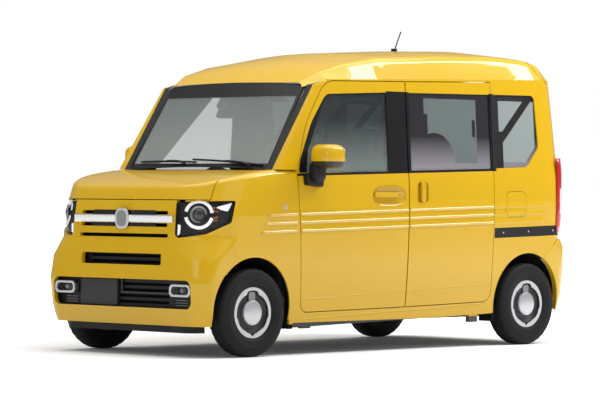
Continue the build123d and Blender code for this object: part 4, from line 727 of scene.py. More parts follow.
# Door handles in their recesses, key cylinders, side markers
HANDLE_CUT, HANDLE_CUT_SIZE = (0.0865, 0.976), (0.156, 0.028, 0.07)
SLIDE_HANDLE, SLIDE_CUT_SIZE = (-0.2235, 1.0), (0.052, 0.024, 0.064)
CUT_OUT, HANDLE_POWER, SLIDE_POWER = 0.004, 0.8, 0.4
GRIP, KEY, MARKER = (0.1, 0.984), (0.0, 0.984), (1.014, 0.907)
GRIP_SIZE, SLIDE_GRIP_SIZE = (0.25, 0.03, 0.014), (0.036, 0.125, 0.014)
MARKER_SIZE, MARKER_BULB_SIZE = (0.042, 0.03, 0.012), (0.018, 0.014, 0.006)
KEY_PROFILE = [(0.0, 0.013), (0.007, 0.013), (0.0085, 0.011), (0.0085, 0.0)]
for side, word in SIDES:
    door = f"front_door_{word}"
    middle = on_side(*HANDLE_CUT, CUT_OUT, side)
    cut(skins[door], "handle_cut", middle, HANDLE_CUT_SIZE, HANDLE_POWER)
    middle = on_side(*SLIDE_HANDLE, CUT_OUT, side)
    cut(skins["sliding_doors"], "slide_cut", middle, SLIDE_CUT_SIZE, SLIDE_POWER)
    # Size, place, how far it starts outside the skin, depth, material, body, slot and bevel
    side_plates = {
        "door_handle": (GRIP_SIZE, GRIP, -0.008, 0.018, PAINT, door, "yellow_paint", 0.004),
        "slide_handle": (SLIDE_GRIP_SIZE, SLIDE_HANDLE, -0.01, 0.022, PAINT, *YELLOW_TRIM, 0.004),
        "side_marker": (MARKER_SIZE, MARKER, -0.002, 0.006, LAMP_GREY, *LAMP_TRIM, 0.003),
        "side_marker_bulb": (MARKER_BULB_SIZE, MARKER, 0.002, 0.0035, AMBER, *LAMP_TRIM, 0.001),
    }
    for name, (size, (x, z), out, *rest) in side_plates.items():
        plate(f"{name}_{word}", size, on_side(x, z, out, side), (-side, 0, 0), *rest)
    spot = on_side(*KEY, 0.0, side)
    lathe(f"key_cylinder_{word}", KEY_PROFILE, spot, (0, side, 0), GREY_METAL, door, "cast_metal", 24)

# Ribs along the side, creases above the sills, rolled lips of the wheel openings
# Level, front end on the fender and front end on the door, which leans back towards its foot
RIB_LEVELS = ((0.884, 1.145, 0.879), (0.833, 1.172, 0.8755), (0.782, 1.196, 0.872))
FENDER_REAR, DOOR_REAR, SLIDE_AHEAD, SLIDE_REAR = 0.911, -0.0855, -0.104, -0.899
# Fall towards the front, radius, how far it is sunk, steps and paint
RIB = (WEDGE, 0.0115, 0.0035, 16, RIB_PAINT)
CREASE, SILL_EDGE = (0.0365, 0.0032, 0.00112, 24, PAINT), (0.0365, 0.004, 0.0014, 24, PAINT)
CREASE_LEVEL, SILL_LEVEL = 0.372, 0.249
LIP_ARC, LIP_BEAD, LIP_SINK, LIP_FOOT, LIP_AHEAD = (0.3225, -12, 192, 60), 0.0055, 0.0035, 0.2, 1.5
for side, word in SIDES:
    door = f"front_door_{word}"
    # Name, body, front end, rear end, level and style
    bars = [
        ("crease_door", door, 0.848, -0.086, CREASE_LEVEL, CREASE),
        ("crease_slide", "body", SLIDE_AHEAD, -0.893, CREASE_LEVEL, CREASE),
        ("sill_edge", "body", 0.84, -0.86, SILL_LEVEL, SILL_EDGE),
        ("crease_fender", "body", 0.932, 0.91, CREASE_LEVEL, CREASE),
    ]
    for k, (level, fender_ahead, door_ahead) in enumerate(RIB_LEVELS):
        bars.append((f"rib_{k}_fender", "body", fender_ahead, FENDER_REAR, level, RIB))
        bars.append((f"rib_{k}_door", door, door_ahead, DOOR_REAR, level, RIB))
        bars.append((f"rib_{k}_slide", "body", SLIDE_AHEAD, SLIDE_REAR, level, RIB))
    for name, body, ahead, rear, level, (fall, radius, sink, steps, mat) in bars:
        points = [on_side(x, level - fall * x, -sink, side) for x in spread(ahead, rear, steps)]
        rod(f"{name}_{word}", points, radius, mat, body, "yellow_paint")
    for axle_x, end in ((AXLE_X, "front"), (-AXLE_X, "rear")):
        lip = arc((axle_x, ARCH_Z), *LIP_ARC)
        points = [on_side(x, max(z, LIP_FOOT), -LIP_SINK, side) for x, z in lip if x < LIP_AHEAD]
        rod(f"arch_lip_{end}_{word}", points, LIP_BEAD, PAINT, *YELLOW_TRIM)

# Wheels: dark dish, bright ring with a shaped inner edge, tab and plain cap
# Angle from the top and radius
RING_EDGE = [
    (0, 0.135), (14, 0.135), (20, 0.131), (26, 0.119), (40, 0.124), (60, 0.129), (85, 0.133), (100, 0.135),
    (108, 0.129), (125, 0.131), (140, 0.128), (150, 0.124), (160, 0.127), (168, 0.127), (173, 0.131),
    (180, 0.1425),
]
TAB_HALF = [(19, 0.076), (16, 0.1), (13.5, 0.118), (8, 0.1275)]
TAB = TAB_HALF + [(-a, r) for a, r in reversed(TAB_HALF)]
# Radius and distance from the wheel's middle plane
TYRE_HALF = [
    (0.1535, 0.05), (0.162, 0.058), (0.172, 0.064), (0.176, 0.0665), (0.178, 0.0665), (0.19, 0.07),
    (0.21, 0.0718), (0.212, 0.0728), (0.214, 0.0718), (0.232, 0.0705), (0.246, 0.0675), (0.256, 0.062),
    (0.2625, 0.0555), (0.2665, 0.047), (0.2676, 0.0385), (0.2615, 0.037), (0.2615, 0.032), (0.2679, 0.0305),
    (0.2685, 0.0165), (0.2622, 0.0155), (0.2622, 0.0105), (0.2685, 0.0095),
]
TYRE_SECTION = TYRE_HALF + [(r, -h) for r, h in reversed(TYRE_HALF)]
CAP_PROFILE = [
    (0.0, 0.0655), (0.02, 0.065), (0.045, 0.0635), (0.066, 0.0605), (0.074, 0.057), (0.077, 0.052),
    (0.077, 0.04),
]
RIM_RADIUS, RIM_OUT, RIM_DEPTH, TAB_OUT, TAB_DEPTH = 0.1545, 0.047, 0.009, 0.039, 0.01
DISH_RIBS, DISH_RIB_HALF, DISH_RIB_FOOT, DISH_RIB_TOP = (0.098, 0.112, 0.125), 0.004, 0.037, 0.0405
TREAD_STEPS, TREAD_MIDDLE, SHOULDER_RADIUS, CROWN_RADIUS = 160, 0.034, 0.256, 0.266
SHOULDER_CUT, SHOULDER_EVERY, CROWN_CUT, CROWN_EVERY = 0.0045, 5, 0.002, 8


def ring_edge(turn):
    """Inner radius of the bright ring, the same to both sides of the top."""
    turn = min(turn % 360, 360 - turn % 360)
    for (a0, r0), (a1, r1) in zip(RING_EDGE, RING_EDGE[1:]):
        if turn <= a1:
            return r0 + (r1 - r0) * (turn - a0) / (a1 - a0)
    return RING_EDGE[-1][1]


def tread(k, radius, along):
    """Cross cuts in the tread's shoulder blocks, and shallow ones in its middle."""
    if radius > SHOULDER_RADIUS and abs(along) > TREAD_MIDDLE and k % SHOULDER_EVERY == 0:
        return radius - SHOULDER_CUT
    if radius > CROWN_RADIUS and abs(along) < TREAD_MIDDLE and k % CROWN_EVERY == 0:
        return radius - CROWN_CUT
    return radius


def polar(rows):
    """Points across and up from angles and radii."""
    return [(r * math.sin(math.radians(a)), r * math.cos(math.radians(a))) for a, r in rows]


ring_turns = [-2.0 * k for k in range(180)]
rim_edge = polar([(turn, RIM_RADIUS) for turn in ring_turns])
inner_edge = polar([(turn, ring_edge(turn)) for turn in ring_turns])
for corner in ("front_left", "front_right", "rear_left", "rear_right"):
    side = 1 if corner.endswith("left") else -1
    centre = Vector((AXLE_X if corner.startswith("front") else -AXLE_X, side * TRACK_Y, TYRE_RADIUS))
    out = Vector((0, side, 0))
    across = (-side, 0, 0)
    body = "wheel_" + corner
    bright = (SILVER, body, "wheel_silver")
    look = (RUBBER, body, "tyre_rubber")
    tyre = lathe("tyre_skin_" + corner, TYRE_SECTION, centre, out, *look, TREAD_STEPS, tread, True)
    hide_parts("tyre_" + corner)
    spot = centre + out * RIM_OUT
    band("wheel_ring_" + corner, rim_edge, inner_edge, spot, across, UP, RIM_DEPTH, *bright, 0.0015)
    spot = centre + out * TAB_OUT
    look = (GREY_METAL, body, "wheel_silver")
    slab("wheel_tab_" + corner, polar(TAB), spot, across, UP, TAB_DEPTH, *look, 0.002)
    lathe("wheel_cap_" + corner, CAP_PROFILE, centre, out, *bright, 56)
    for radius in DISH_RIBS:
        inner, outer = (radius - DISH_RIB_HALF, DISH_RIB_FOOT), (radius + DISH_RIB_HALF, DISH_RIB_FOOT)
        name = f"dish_rib_{corner}_{round(radius * 1000)}"
        lathe(name, [inner, (radius, DISH_RIB_TOP), outer], centre, out, DISH, body, "wheel_silver", 56)

# Black liners in the front wheel wells, and the flaps behind the front and ahead of the rear wheels
LINER_ARC, LINER_INNER_Y, LINER_OUTER_Y = (0.331, -8, 188, 28), 0.415, 0.69
FLAP_SIZE, FLAP_Y, FLAP_Z, FLAP_WIDTH = (0.035, 0.1, 0.006), 0.575, 0.21, 0.11
FLAPS = ((0.915, "front"), (-0.955, "rear"))
for side, word in SIDES:
    edge = arc((AXLE_X, ARCH_Z), *LINER_ARC)
    count = len(edge)
    verts = [(x, side * y, z) for y in (LINER_INNER_Y, LINER_OUTER_Y) for x, z in edge]
    verts.append((AXLE_X, side * LINER_INNER_Y, ARCH_Z))
    faces = [(i, i + 1, count + i + 1, count + i) for i in range(count - 1)]
    faces += [(2 * count, i, i + 1) for i in range(count - 1)]
    shaped(f"wheel_liner_{word}", verts, faces, UNDER, *BLACK_TRIM)
    for x, end in FLAPS:
        place = (x, side * FLAP_Y, FLAP_Z)
        plate(f"flap_{end}_{word}", FLAP_SIZE, place, AHEAD, -FLAP_WIDTH * side, UNDER, *BLACK_TRIM)

# Headlamps: dark bed, broken ring with a weak painted glow, projector, glowing sheets as painted highlights,
# and amber dots
# Outlines and places are given across the corner and in height
LAMP_EDGE = [(-0.84, 0.929), (-0.5, 0.937), (-0.524, 0.816), (-0.672, 0.75), (-0.85, 0.724)]
# Outlines of the painted highlights: glowing sheets in the headlamp
PAINTED_LAMP_HIGHLIGHT = [(-0.607, 0.905), (-0.584, 0.89), (-0.54, 0.88), (-0.522, 0.915), (-0.516, 0.931)]
PAINTED_EDGE_HIGHLIGHT = [(-0.838, 0.80), (-0.822, 0.796), (-0.826, 0.744), (-0.842, 0.733)]
AMBER_DOTS = [
    (-0.622, 0.902), (-0.604, 0.898), (-0.619, 0.882), (-0.602, 0.879),
    (-0.617, 0.842), (-0.603, 0.845), (-0.622, 0.824), (-0.607, 0.827),
]
PROJECTOR, PROJECTOR_DEPTH, DOT_DEPTH = (-0.713, 0.86), 0.026, 0.016
RING_RADII, RING_DEPTHS, RING_STRETCH, RING_THICK = (0.068, 0.053), (0.012, 0.015), (1.32, 1.3), 0.004
RING_PARTS, RING_STEPS = (("upper", 8, 166), ("lower", 192, 346)), 30
PROJECTOR_PROFILE = [(0.0, 0.02), (0.015, 0.0185), (0.028, 0.013), (0.036, 0.005), (0.037, 0.0)]
PROJECTOR_RING = [(0.037, 0.002), (0.04, 0.008), (0.046, 0.009), (0.051, 0.004), (0.053, -0.002)]
DOT_PROFILE = [(0.0, 0.004), (0.003, 0.003), (0.0045, 0.0)]
for side, word in SIDES:
    corner_patch(f"lamp_bed_{word}", LAMP_EDGE, 0.024, side, LAMP_BED)
    # Painted highlights: glowing sheets in the headlamp
    corner_patch(f"painted_lamp_highlight_{word}", PAINTED_LAMP_HIGHLIGHT, 0.014, side, PAINTED_GLOW)
    corner_patch(f"painted_lamp_edge_highlight_{word}", PAINTED_EDGE_HIGHLIGHT, 0.012, side, PAINTED_GLOW)
    # The broken ring: white, with a weak painted glow
    for part, start, end in RING_PARTS:
        verts = []
        for radius, depth in zip(RING_RADII, RING_DEPTHS):
            edge = arc(PROJECTOR, radius, start, end, RING_STEPS, RING_STRETCH)
            verts += [corner_point(u, z, depth, side) for u, z in edge]
        count = RING_STEPS + 1
        faces = [(i, i + 1, count + i + 1, count + i) for i in range(RING_STEPS)]
        ring = shaped(f"glowing_lamp_ring_{part}_{word}", verts, faces, PAINTED_GLOW, *LAMP_TRIM)
        thicken(ring, RING_THICK, -1.0)
    look = (1, side, 0)
    spot = corner_point(*PROJECTOR, PROJECTOR_DEPTH, side)
    lathe(f"projector_{word}", PROJECTOR_PROFILE, spot, look, GLOSS_BLACK, *LAMP_TRIM, 32)
    lathe(f"projector_ring_{word}", PROJECTOR_RING, spot, look, GREY_METAL, *BRIGHT_TRIM, 40)
    for k, (u, z) in enumerate(AMBER_DOTS):
        spot = corner_point(u, z, DOT_DEPTH, side)
        lathe(f"lamp_dot_{k}_{word}", DOT_PROFILE, spot, look, AMBER, *LAMP_TRIM, 12)

# Fog lamps, bars of the intake, dark backings, the grille's inlay and its bare boss
FOG_Y, FOG_Z, FOG_RING_X, FOG_BACK_X, FOG_BULB_X = 0.522, 0.404, 1.676, 1.646, 1.652
FOG_OUTER, FOG_INNER, FOG_BACK = (0.184, 0.076, 0.03), (0.152, 0.047, 0.021), (0.17, 0.06, 0.02)
FOG_BULB = [(0.0, 0.024), (0.012, 0.022), (0.018, 0.012), (0.02, 0.0)]
VENT_X, VENT_Y, VENT_Z, VENT_STEP, VENT_SIZE = 1.6422, 0.5, 0.345, 0.016, (0.11, 0.007, 0.003)
GRILLE_INLAY = [
    (0.31, 0.004), (0.275, 0.052), (-0.275, 0.052), (-0.31, 0.004), (-0.285, -0.046), (0.285, -0.046),
]
BOSS_Z, INLAY_X, INLAY_RISE = 0.832, 1.6685, (-0.087, 0, 0.996)
# Width, height, corner radius and steps to a corner
BOSS, BOSS_FACE = (0.118, 0.128, 0.046, 8), (0.088, 0.098, 0.036, 8)
# Size, place, depth, material, slot and bevel
FRONT_PLATES = {
    "intake_post": ((0.008, 0.085, 0.003), (1.643, -0.035, 0.425), 0.012, DARK_GREY, "dark_plastic", 0.0015),
    "intake_bar": ((0.46, 0.008, 0.003), (1.643, 0.19, 0.383), 0.012, DARK_GREY, "dark_plastic", 0.0015),
    "intake_backing": ((1.24, 0.2, 0.02), (1.604, 0, 0.38), 0.004, UNDER, "black_plastic", 0.0015),
    "slit_backing": ((0.74, 0.1, 0.02), (1.604, 0, 0.588), 0.004, UNDER, "black_plastic", 0.0015),
    "grille_backing": ((0.88, 0.2, 0.02), (1.6145, 0, 0.79), 0.006, UNDER, "black_plastic", 0.0015),
    "grille_boss": (BOSS, (1.682, 0, BOSS_Z), 0.01, SILVER, "chrome_trim", 0.004),
    "grille_boss_face": (BOSS_FACE, (1.688, 0, BOSS_Z), 0.0055, GREY_METAL, "chrome_trim", 0.003),
}
for side, word in SIDES:
    y = side * FOG_Y
    outer, inner = rounded(*FOG_OUTER), rounded(*FOG_INNER)
    spot = (FOG_RING_X, y, FOG_Z)
    band(f"fog_ring_{word}", outer, inner, spot, LEFT, UP, 0.017, SILVER, *BRIGHT_TRIM, 0.004)
    plate(f"fog_back_{word}", FOG_BACK, (FOG_BACK_X, y, FOG_Z), LEFT, 0.006, LAMP_BED, *LAMP_TRIM)
    spot = (FOG_BULB_X, y, FOG_Z)
    lathe(f"fog_bulb_{word}", FOG_BULB, spot, AHEAD, GREY_METAL, *LAMP_TRIM, 24)
    for k in range(3):
        place = (VENT_X, side * VENT_Y, VENT_Z - VENT_STEP * k)
        plate(f"fog_vent_{k}_{word}", VENT_SIZE, place, LEFT, 0.004, GLOSS_BLACK, *BLACK_TRIM)
for name, (size, place, depth, mat, slot, bevel) in FRONT_PLATES.items():
    plate(name, size, place, LEFT, depth, mat, "body", slot, bevel)
inlay = (GLOSS_BLACK, *BLACK_TRIM)
slab("grille_inlay", GRILLE_INLAY, (INLAY_X, 0, BOSS_Z), LEFT, INLAY_RISE, 0.002, *inlay, 0.0005)

# Rail bolts and tail lamp lenses
RAIL_Z, BOLT_PLACES, RAIL_BEND, RAIL_TUCK = 0.714, (-1.0, -1.25, -1.5), -1.4, 0.0015
BOLT_PROFILE = [(0.0, 0.003), (0.004, 0.003), (0.0055, 0.0015), (0.0055, -0.002)]
TAIL_X, TAIL_Y, TAIL_RADIUS, TAIL_FOOT, TAIL_TOP = -1.477, 0.543, 0.19, 0.737, 1.23
TAIL_START, TAIL_END, TAIL_STEPS, TAIL_BULGE, TAIL_THICK = 19, 70, 12, 0.016, 0.012


def rise_from_edge(k, slope, start):
    """Grows from a start at both ends of the tail lens's steps to 1."""
    return min(1.0, slope * min(k, TAIL_STEPS - k) / TAIL_STEPS + start)


for side, word in SIDES:
    for k, x in enumerate(BOLT_PLACES):
        z = RAIL_Z - WEDGE * x
        spot = on_side(x, z, 0.0 if x > RAIL_BEND else -RAIL_TUCK, side)
        lathe(f"rail_bolt_{k}_{word}", BOLT_PROFILE, spot, (0, side, 0), SILVER, *BRIGHT_TRIM, 16)
    verts, faces = [], []
    for row, z in enumerate(spread(TAIL_FOOT, TAIL_TOP, TAIL_STEPS)):
        lift = TAIL_BULGE * rise_from_edge(row, 3.0, 0.45)
        for k, turn in enumerate(spread(TAIL_START, TAIL_END, TAIL_STEPS)):
            out = TAIL_RADIUS + lift * rise_from_edge(k, 4.0, 0.2)
            angle = math.radians(turn)
            verts.append((TAIL_X - out * math.sin(angle), side * (TAIL_Y + out * math.cos(angle)), z))
    count = TAIL_STEPS + 1
    for row in range(TAIL_STEPS):
        for a in range(row * count, row * count + TAIL_STEPS):
            faces.append((a, a + 1, a + count + 1, a + count))
    thicken(shaped(f"tail_lens_{word}", verts, faces, LAMP_RED, *RED_TRIM), TAIL_THICK)

# Mirrors: housing, foot, stalk and glass
MIRROR_Y, MIRROR_RADII, MIRROR_POWER, MIRROR_FLAT = 0.85, (0.084, 0.094, 0.075), 0.56, 0.6815
MIRROR_FOOT = [(-0.068, -0.042), (0.068, -0.03), (0.074, 0.034), (-0.05, 0.045), (-0.078, 0.03)]
STALK_RADII, STALK_POWER, MIRROR_GLASS_SIZE = (0.05, 0.04, 0.065), 0.6, (0.136, 0.106, 0.026)
for side, word in SIDES:
    door = f"front_door_{word}"
    shell = egg(f"mirror_shell_{word}", (0.762, side * MIRROR_Y, 1.217), MIRROR_RADII, MIRROR_POWER)
    for vert in shell.vertices:
        vert.co.x = max(vert.co.x, MIRROR_FLAT)
    housing = piece(f"mirror_housing_{word}", shell, MIRROR_PAINT, door, slot_of["mirror_" + word])
    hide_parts("mirror_" + word)
    look = (BLACK, door, "black_plastic")
    spot = (0.782, side * 0.722, 1.07)
    slab(f"mirror_foot_{word}", MIRROR_FOOT, spot, (side, 0, 0), UP, -0.05, *look, 0.012)
    stalk = egg(f"mirror_stalk_{word}", (0.785, side * 0.785, 1.125), STALK_RADII, STALK_POWER)
    piece(f"mirror_stalk_{word}", stalk, *look)
    look = (MIRROR_GLASS, door, "chrome_trim")
    spot = (0.6795, side * MIRROR_Y, 1.218)
    plate(f"mirror_glass_{word}", MIRROR_GLASS_SIZE, spot, RIGHT, 0.0015, *look, 0.0005)

# Tailgate: grip, high stop lamp and wiper; reflectors of the bumper
GATE_LEAN, GATE_RISE = 0.0964, (0.0964, 0, 0.9953)
GATE_BLACK = (BLACK, "tailgate", "black_plastic")
GATE_GLOSS = (GLOSS_BLACK, "tailgate", "black_plastic")
GATE_YELLOW = (PAINT, "tailgate", "yellow_paint")
WIPER_PIVOT, WIPER_BOSS = (-1.651, 0, 1.198), [(0.0, 0.03), (0.014, 0.028), (0.019, 0.02), (0.021, 0.0)]
REAR_ARM = [(-1.676, 0, 1.198), (-1.674, 0.06, 1.21), (-1.666, 0.2, 1.235)]
REAR_BLADE, REAR_BLADE_X, REAR_BLADE_FOOT = ((0.04, 1.222), (0.2, 1.232), (0.38, 1.238)), -1.657, 1.2
plate("gate_grip", (0.56, 0.06, 0.014), (-1.6655, 0, 1.06), RIGHT, 0.012, *GATE_YELLOW, 0.004)
plate("gate_grip_slot", (0.2, 0.026, 0.008), (-1.6765, 0, 1.05), RIGHT, 0.0022, *GATE_GLOSS, 0.0005)
high_lamp = (RED, "tailgate", "red_lens")
plate("high_lamp", (0.24, 0.022, 0.008), (-1.608, 0, 1.7), RIGHT, 0.007, *high_lamp, 0.002, GATE_RISE)
lathe("rear_wiper_boss", WIPER_BOSS, WIPER_PIVOT, BACK, *GATE_BLACK, 24)
rod("rear_wiper_arm", REAR_ARM, 0.006, *GATE_BLACK)
blade = [(REAR_BLADE_X + GATE_LEAN * (z - REAR_BLADE_FOOT), y, z) for y, z in REAR_BLADE]
rod("rear_wiper_blade", blade, 0.0055, *GATE_BLACK)
REFLECTOR_SIZE, REFLECTOR_Y, REFLECTOR_RISE = (0.13, 0.032, 0.01), 0.52, (-0.04, 0, 1)
for side, word in SIDES:
    place = (-1.6895, side * REFLECTOR_Y, 0.36)
    look = (RED, *RED_TRIM)
    plate(f"bumper_reflector_{word}", REFLECTOR_SIZE, place, RIGHT, 0.005, *look, 0.0015, REFLECTOR_RISE)

# Door linings with arm rests, pulls, pockets and speakers
# Size, x, half width, z, depth, material, slot and bevel
DOOR_TRIM = {
    "door_lining": ((0.74, 0.44, 0.06), 0.42, 0.6925, 0.79, 0.014, DARK_GREY, "dark_plastic", 0.004),
    "arm_rest": ((0.42, 0.06, 0.025), 0.36, 0.686, 0.83, 0.05, BLACK, "dark_plastic", 0.01),
    "door_pull": ((0.11, 0.05, 0.02), 0.6, 0.682, 0.95, 0.012, GREY_METAL, "chrome_trim", 0.004),
    "door_pocket": ((0.6, 0.12, 0.03), 0.42, 0.668, 0.47, 0.022, BLACK, "dark_plastic", 0.006),
}
SPEAKER_X, SPEAKER_Y, SPEAKER_Z = 0.68, 0.682, 0.63
SPEAKER = [(0.0, 0.006), (0.05, 0.006), (0.062, 0.009), (0.07, 0.0)]
for side, word in SIDES:
    door = f"front_door_{word}"
    for name, (size, x, y, z, depth, mat, slot, bevel) in DOOR_TRIM.items():
        plate(f"{name}_{word}", size, (x, side * y, z), (side, 0, 0), depth, mat, door, slot, bevel)
    spot = (SPEAKER_X, side * SPEAKER_Y, SPEAKER_Z)
    lathe(f"door_speaker_{word}", SPEAKER, spot, (0, -side, 0), BLACK, door, "dark_plastic", 32)

# Dashboard: instrument hood, vents, middle panel and glove box
# Size, place, depth, material and bevel
DASH_PLATES = {
    "instrument_hood": ((0.34, 0.11, 0.05), (0.75, -0.33, 1.075), 0.075, BLACK, 0.012),
    "instrument_glass": ((0.28, 0.075, 0.03), (0.6765, -0.33, 1.075), 0.002, GLOSS_BLACK, 0.0005),
    "middle_panel": ((0.22, 0.19, 0.02), (0.6915, 0, 0.955), 0.006, GLOSS_BLACK, 0.002),
    "glove_box": ((0.36, 0.13, 0.02), (0.6915, 0.36, 0.86), 0.006, DARK_GREY, 0.003),
}
DASH_VENT = [(0.0, 0.005), (0.03, 0.005), (0.036, 0.009), (0.042, 0.0)]
DASH_VENT_X, DASH_VENT_Z, DASH_VENT_PLACES = 0.693, 0.99, (-0.54, -0.16, 0.16, 0.54)
for name, (size, place, depth, mat, bevel) in DASH_PLATES.items():
    plate(name, size, place, RIGHT, depth, mat, *DARK_TRIM, bevel)
for k, y in enumerate(DASH_VENT_PLACES):
    spot = (DASH_VENT_X, y, DASH_VENT_Z)
    lathe(f"dash_vent_{k}", DASH_VENT, spot, BACK, GREY_METAL, *BRIGHT_TRIM, 28)

# Seats, padded from the CAD shapes
SEAT_VOXEL, SEAT_EVEN, SEAT_EVEN_TIMES = 0.011, 0.6, 4
SEAT_CROWN, SEAM_DEPTH, SEAM_PLACE, SEAM_HALF, SEAM_WIDTH = 0.009, 0.009, 0.58, 0.05, 0.011
# Middle and half width of a seat
FRONT_SEAT, REAR_SEAT = (0.33, 0.235), (0.28, 0.28)
REAR_SEAT_X, HEAD_REST_Z, SEAT_FACING = -0.3, 1.21, 0.6
BACK_SEAMS, CUSHION_SEAMS = (0.84, 1.04), (0.2, 0.36)
# Height and fineness of the slight unevenness
UNEVEN = ((0.002, 9.0), (0.001, 26.0))
seat = piece("seat_padding", nodes["seats"].data.copy(), CLOTH, "body", slot_of["seats"])
blocks = seat.modifiers.new("blocks", "REMESH")
blocks.mode = "VOXEL"
blocks.voxel_size = SEAT_VOXEL
even = seat.modifiers.new("even", "SMOOTH")
even.factor = SEAT_EVEN
even.iterations = SEAT_EVEN_TIMES
bake(seat)


def seam(distance, width):
    """1 at a sewn line, falling off to both sides."""
    return math.exp(-((distance / width) ** 2))


def swelling(place, normal):
    """Crown and sewn channels of a seat at a point, and slight unevenness, in metres."""
    middle, half = FRONT_SEAT if place.x > REAR_SEAT_X else REAR_SEAT
    across = (abs(place.y) - middle) / half
    crown = SEAT_CROWN * max(0.0, 1.0 - across**2)
    seams = seam(abs(across) - SEAM_PLACE, SEAM_HALF)
    if normal.x > SEAT_FACING:
        seams += sum(seam(place.z - z, SEAM_WIDTH) for z in BACK_SEAMS)
    elif normal.z > SEAT_FACING and place.x > REAR_SEAT_X:
        seams += sum(seam(place.x - x, SEAM_WIDTH) for x in CUSHION_SEAMS)
    groove = SEAM_DEPTH * min(seams, 1.0) if place.z < HEAD_REST_Z else 0.0
    uneven = sum(height * noise.noise(place * fineness) for height, fineness in UNEVEN)
    return max(normal.x, normal.z, 0.0) * (crown - groove) + uneven


swollen = []
for vert in seat.data.vertices:
    swollen.extend(vert.co + vert.normal * swelling(vert.co, vert.normal))
seat.data.vertices.foreach_set("co", swollen)
seat.data.update()
for face in seat.data.polygons:
    face.use_smooth = True
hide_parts("seats")

# Wipers on the windscreen, sensor cover and inner mirror
SCREEN_UP, SCREEN_OUT = Vector((-0.5407, 0, 0.8411)), Vector((0.8411, 0, 0.5407))
SCREEN_BOW, SCREEN_HALF = 0.045, 0.668
# Pivot's y, and the blade's two ends in y
WIPERS = ((0.5, 0.58, -0.02), (-0.06, 0.02, -0.52))
BLADE_START, BLADE_END, BLADE_OUT, BLADE_STEPS, WIPER_RADIUS = 0.028, 0.048, 0.009, 10, 0.006
SCREEN_BLACK = (BLACK, *BLACK_TRIM)


def on_screen(rise, y, out):
    """A point on the windscreen by its rise from the foot, or off it by out."""
    bow = SCREEN_BOW * (1 - (y / SCREEN_HALF) ** 2)
    return Vector((SCREEN_FOOT_X, y, SCREEN_FOOT_Z)) + SCREEN_UP * rise + SCREEN_OUT * (bow + out)


for k, (pivot, left, right) in enumerate(WIPERS):
    rises, widths = spread(BLADE_START, BLADE_END, BLADE_STEPS), spread(left, right, BLADE_STEPS)
    blade = [on_screen(rise, y, BLADE_OUT) for rise, y in zip(rises, widths)]
    rod(f"wiper_blade_{k}", blade, WIPER_RADIUS, *SCREEN_BLACK)
    middle = on_screen(0.038, (left + right) / 2, 0.017)
    arm = [on_screen(0.012, pivot, 0.02), on_screen(0.03, pivot - 0.08, 0.022), middle]
    rod(f"wiper_arm_{k}", arm, WIPER_RADIUS, *SCREEN_BLACK)
cover_place, mirror_place = on_screen(0.53, 0.0, -0.03), on_screen(0.46, 0.0, -0.1)
plate("sensor_cover", (0.13, 0.16, 0.02), cover_place, LEFT, 0.02, *SCREEN_BLACK, rise=SCREEN_UP)
plate("inner_mirror", (0.24, 0.065, 0.02), mirror_place, LEFT, 0.02, *SCREEN_BLACK, 0.004, SCREEN_UP)

# Studio: a pale floor that fades to white, a soft sky and four lamps
FLOOR_HALF = 90
# Squares of the distances between which the floor turns white, and its glow there
FADE = {"from_min": 2.0, "from_max": 30.0, "to_min": 0.04, "to_max": 0.9}
SKY_STRENGTH, SKY_LOW, SKY_HIGH, SKY_LOW_GREY = 0.5, 0.48, 0.78, 0.22
# Place, target, width and height, power
LAMPS = {
    "top_softbox": ((0.3, 0.6, 5.6), (0.0, 0.0, 0.9), (8.0, 6.0), 450.0),
    "left_softbox": ((1.0, 7.5, 3.6), (0.0, 0.5, 0.8), (7.0, 2.2), 40.0),
    "rear_strip": ((-4.8, 3.2, 5.1), (-4.8, 0.7, 0.8), (5.0, 1.2), 330.0),
    "front_softbox": ((7.5, 1.5, 2.8), (1.4, 0.2, 0.7), (3.5, 2.5), 48.0),
}
scene = bpy.context.scene
scene.view_settings.view_transform = "Standard"
scene.view_settings.look = "None"
floor_mesh = bpy.data.meshes.new("floor")
floor_corners = [(x * FLOOR_HALF, y * FLOOR_HALF, 0) for x, y in ((-1, -1), (1, -1), (1, 1), (-1, 1))]
floor_mesh.from_pydata(floor_corners, [], [(0, 1, 2, 3)])
floor = bpy.data.objects.new("floor", floor_mesh)
scene.collection.objects.link(floor)
FLOOR = grained("pale_floor", (0.88, 0.88, 0.88), 0.7, (3.0, 0.02, 0.001, 0.0), specular=0.1)
floor_x, floor_y, _ = axes(FLOOR)
fade = node(FLOOR, "MapRange", **FADE)
link(FLOOR, (floor_x * floor_x + floor_y * floor_y).socket, fade.inputs["Value"])
tune(FLOOR, {"Emission Color": (1, 1, 1, 1)})
link(FLOOR, fade.outputs["Result"], bsdf_of(FLOOR).inputs["Emission Strength"])
floor_mesh.materials.append(FLOOR)

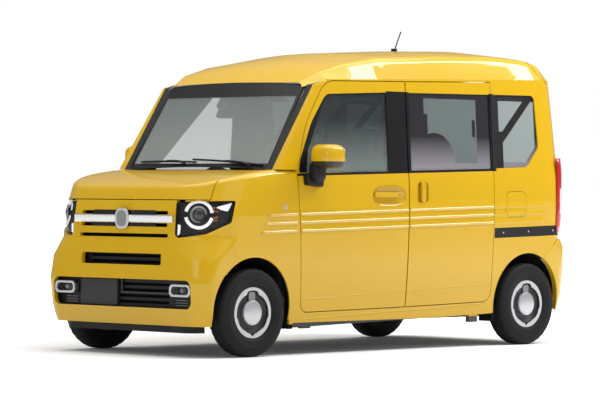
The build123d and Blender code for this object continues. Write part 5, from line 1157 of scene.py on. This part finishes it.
world = bpy.data.worlds.new("studio")
scene.world = world
world.use_nodes = True
world.node_tree.nodes.clear()
sky = node(world, "OutputWorld")
path = node(world, "LightPath")
seen = node(world, "Background")
seen.inputs["Color"].default_value = (1, 1, 1, 1)
lit = node(world, "Background", strength=SKY_STRENGTH)
place = node(world, "TexCoord")
split = node(world, "SeparateXYZ")
ramp = node(world, "ValToRGB")
ends = ((SKY_LOW, SKY_LOW_GREY), (SKY_HIGH, 1))
for stop, (position, grey) in zip(ramp.color_ramp.elements, ends):
    stop.position = position
    stop.color = (grey, grey, grey, 1)
lift = node(world, "MapRange", from_min=-1.0)
both = node(world, "MixShader")
link(world, place.outputs["Generated"], split.inputs[0])
link(world, split.outputs["Z"], lift.inputs["Value"])
link(world, lift.outputs["Result"], ramp.inputs["Fac"])
link(world, ramp.outputs["Color"], lit.inputs["Color"])
link(world, path.outputs["Is Camera Ray"], both.inputs["Fac"])
link(world, lit.outputs[0], both.inputs[1])
link(world, seen.outputs[0], both.inputs[2])
link(world, both.outputs[0], sky.inputs["Surface"])
for name, (place, target, size, power) in LAMPS.items():
    lamp = bpy.data.lights.new(name, "AREA")
    lamp.shape = "RECTANGLE"
    lamp.size, lamp.size_y = size
    lamp.energy = power
    made = bpy.data.objects.new(name, lamp)
    made.location = place
    made.rotation_euler = (Vector(target) - Vector(place)).to_track_quat("-Z", "Y").to_euler()
    scene.collection.objects.link(made)

# Camera, fitted to the photo
CAMERA_PLACE, CAMERA_TARGET = (14.58373, 14.39434, 1.02150), (0.15026, 0.0, 0.94596)
CAMERA_ROLL, FOCAL_LENGTH, SENSOR_WIDTH = 0.33369, 189.93, 36.0
lens = bpy.data.cameras.new("camera")
lens.sensor_width = SENSOR_WIDTH
lens.lens = FOCAL_LENGTH
lens.clip_end = 200.0
camera = bpy.data.objects.new("camera", lens)
camera.location = CAMERA_PLACE
toward = Vector(CAMERA_TARGET) - camera.location
camera.rotation_mode = "QUATERNION"
camera.rotation_quaternion = toward.to_track_quat("-Z", "Y") @ Quaternion(UP, math.radians(CAMERA_ROLL))
scene.collection.objects.link(camera)
scene.camera = camera
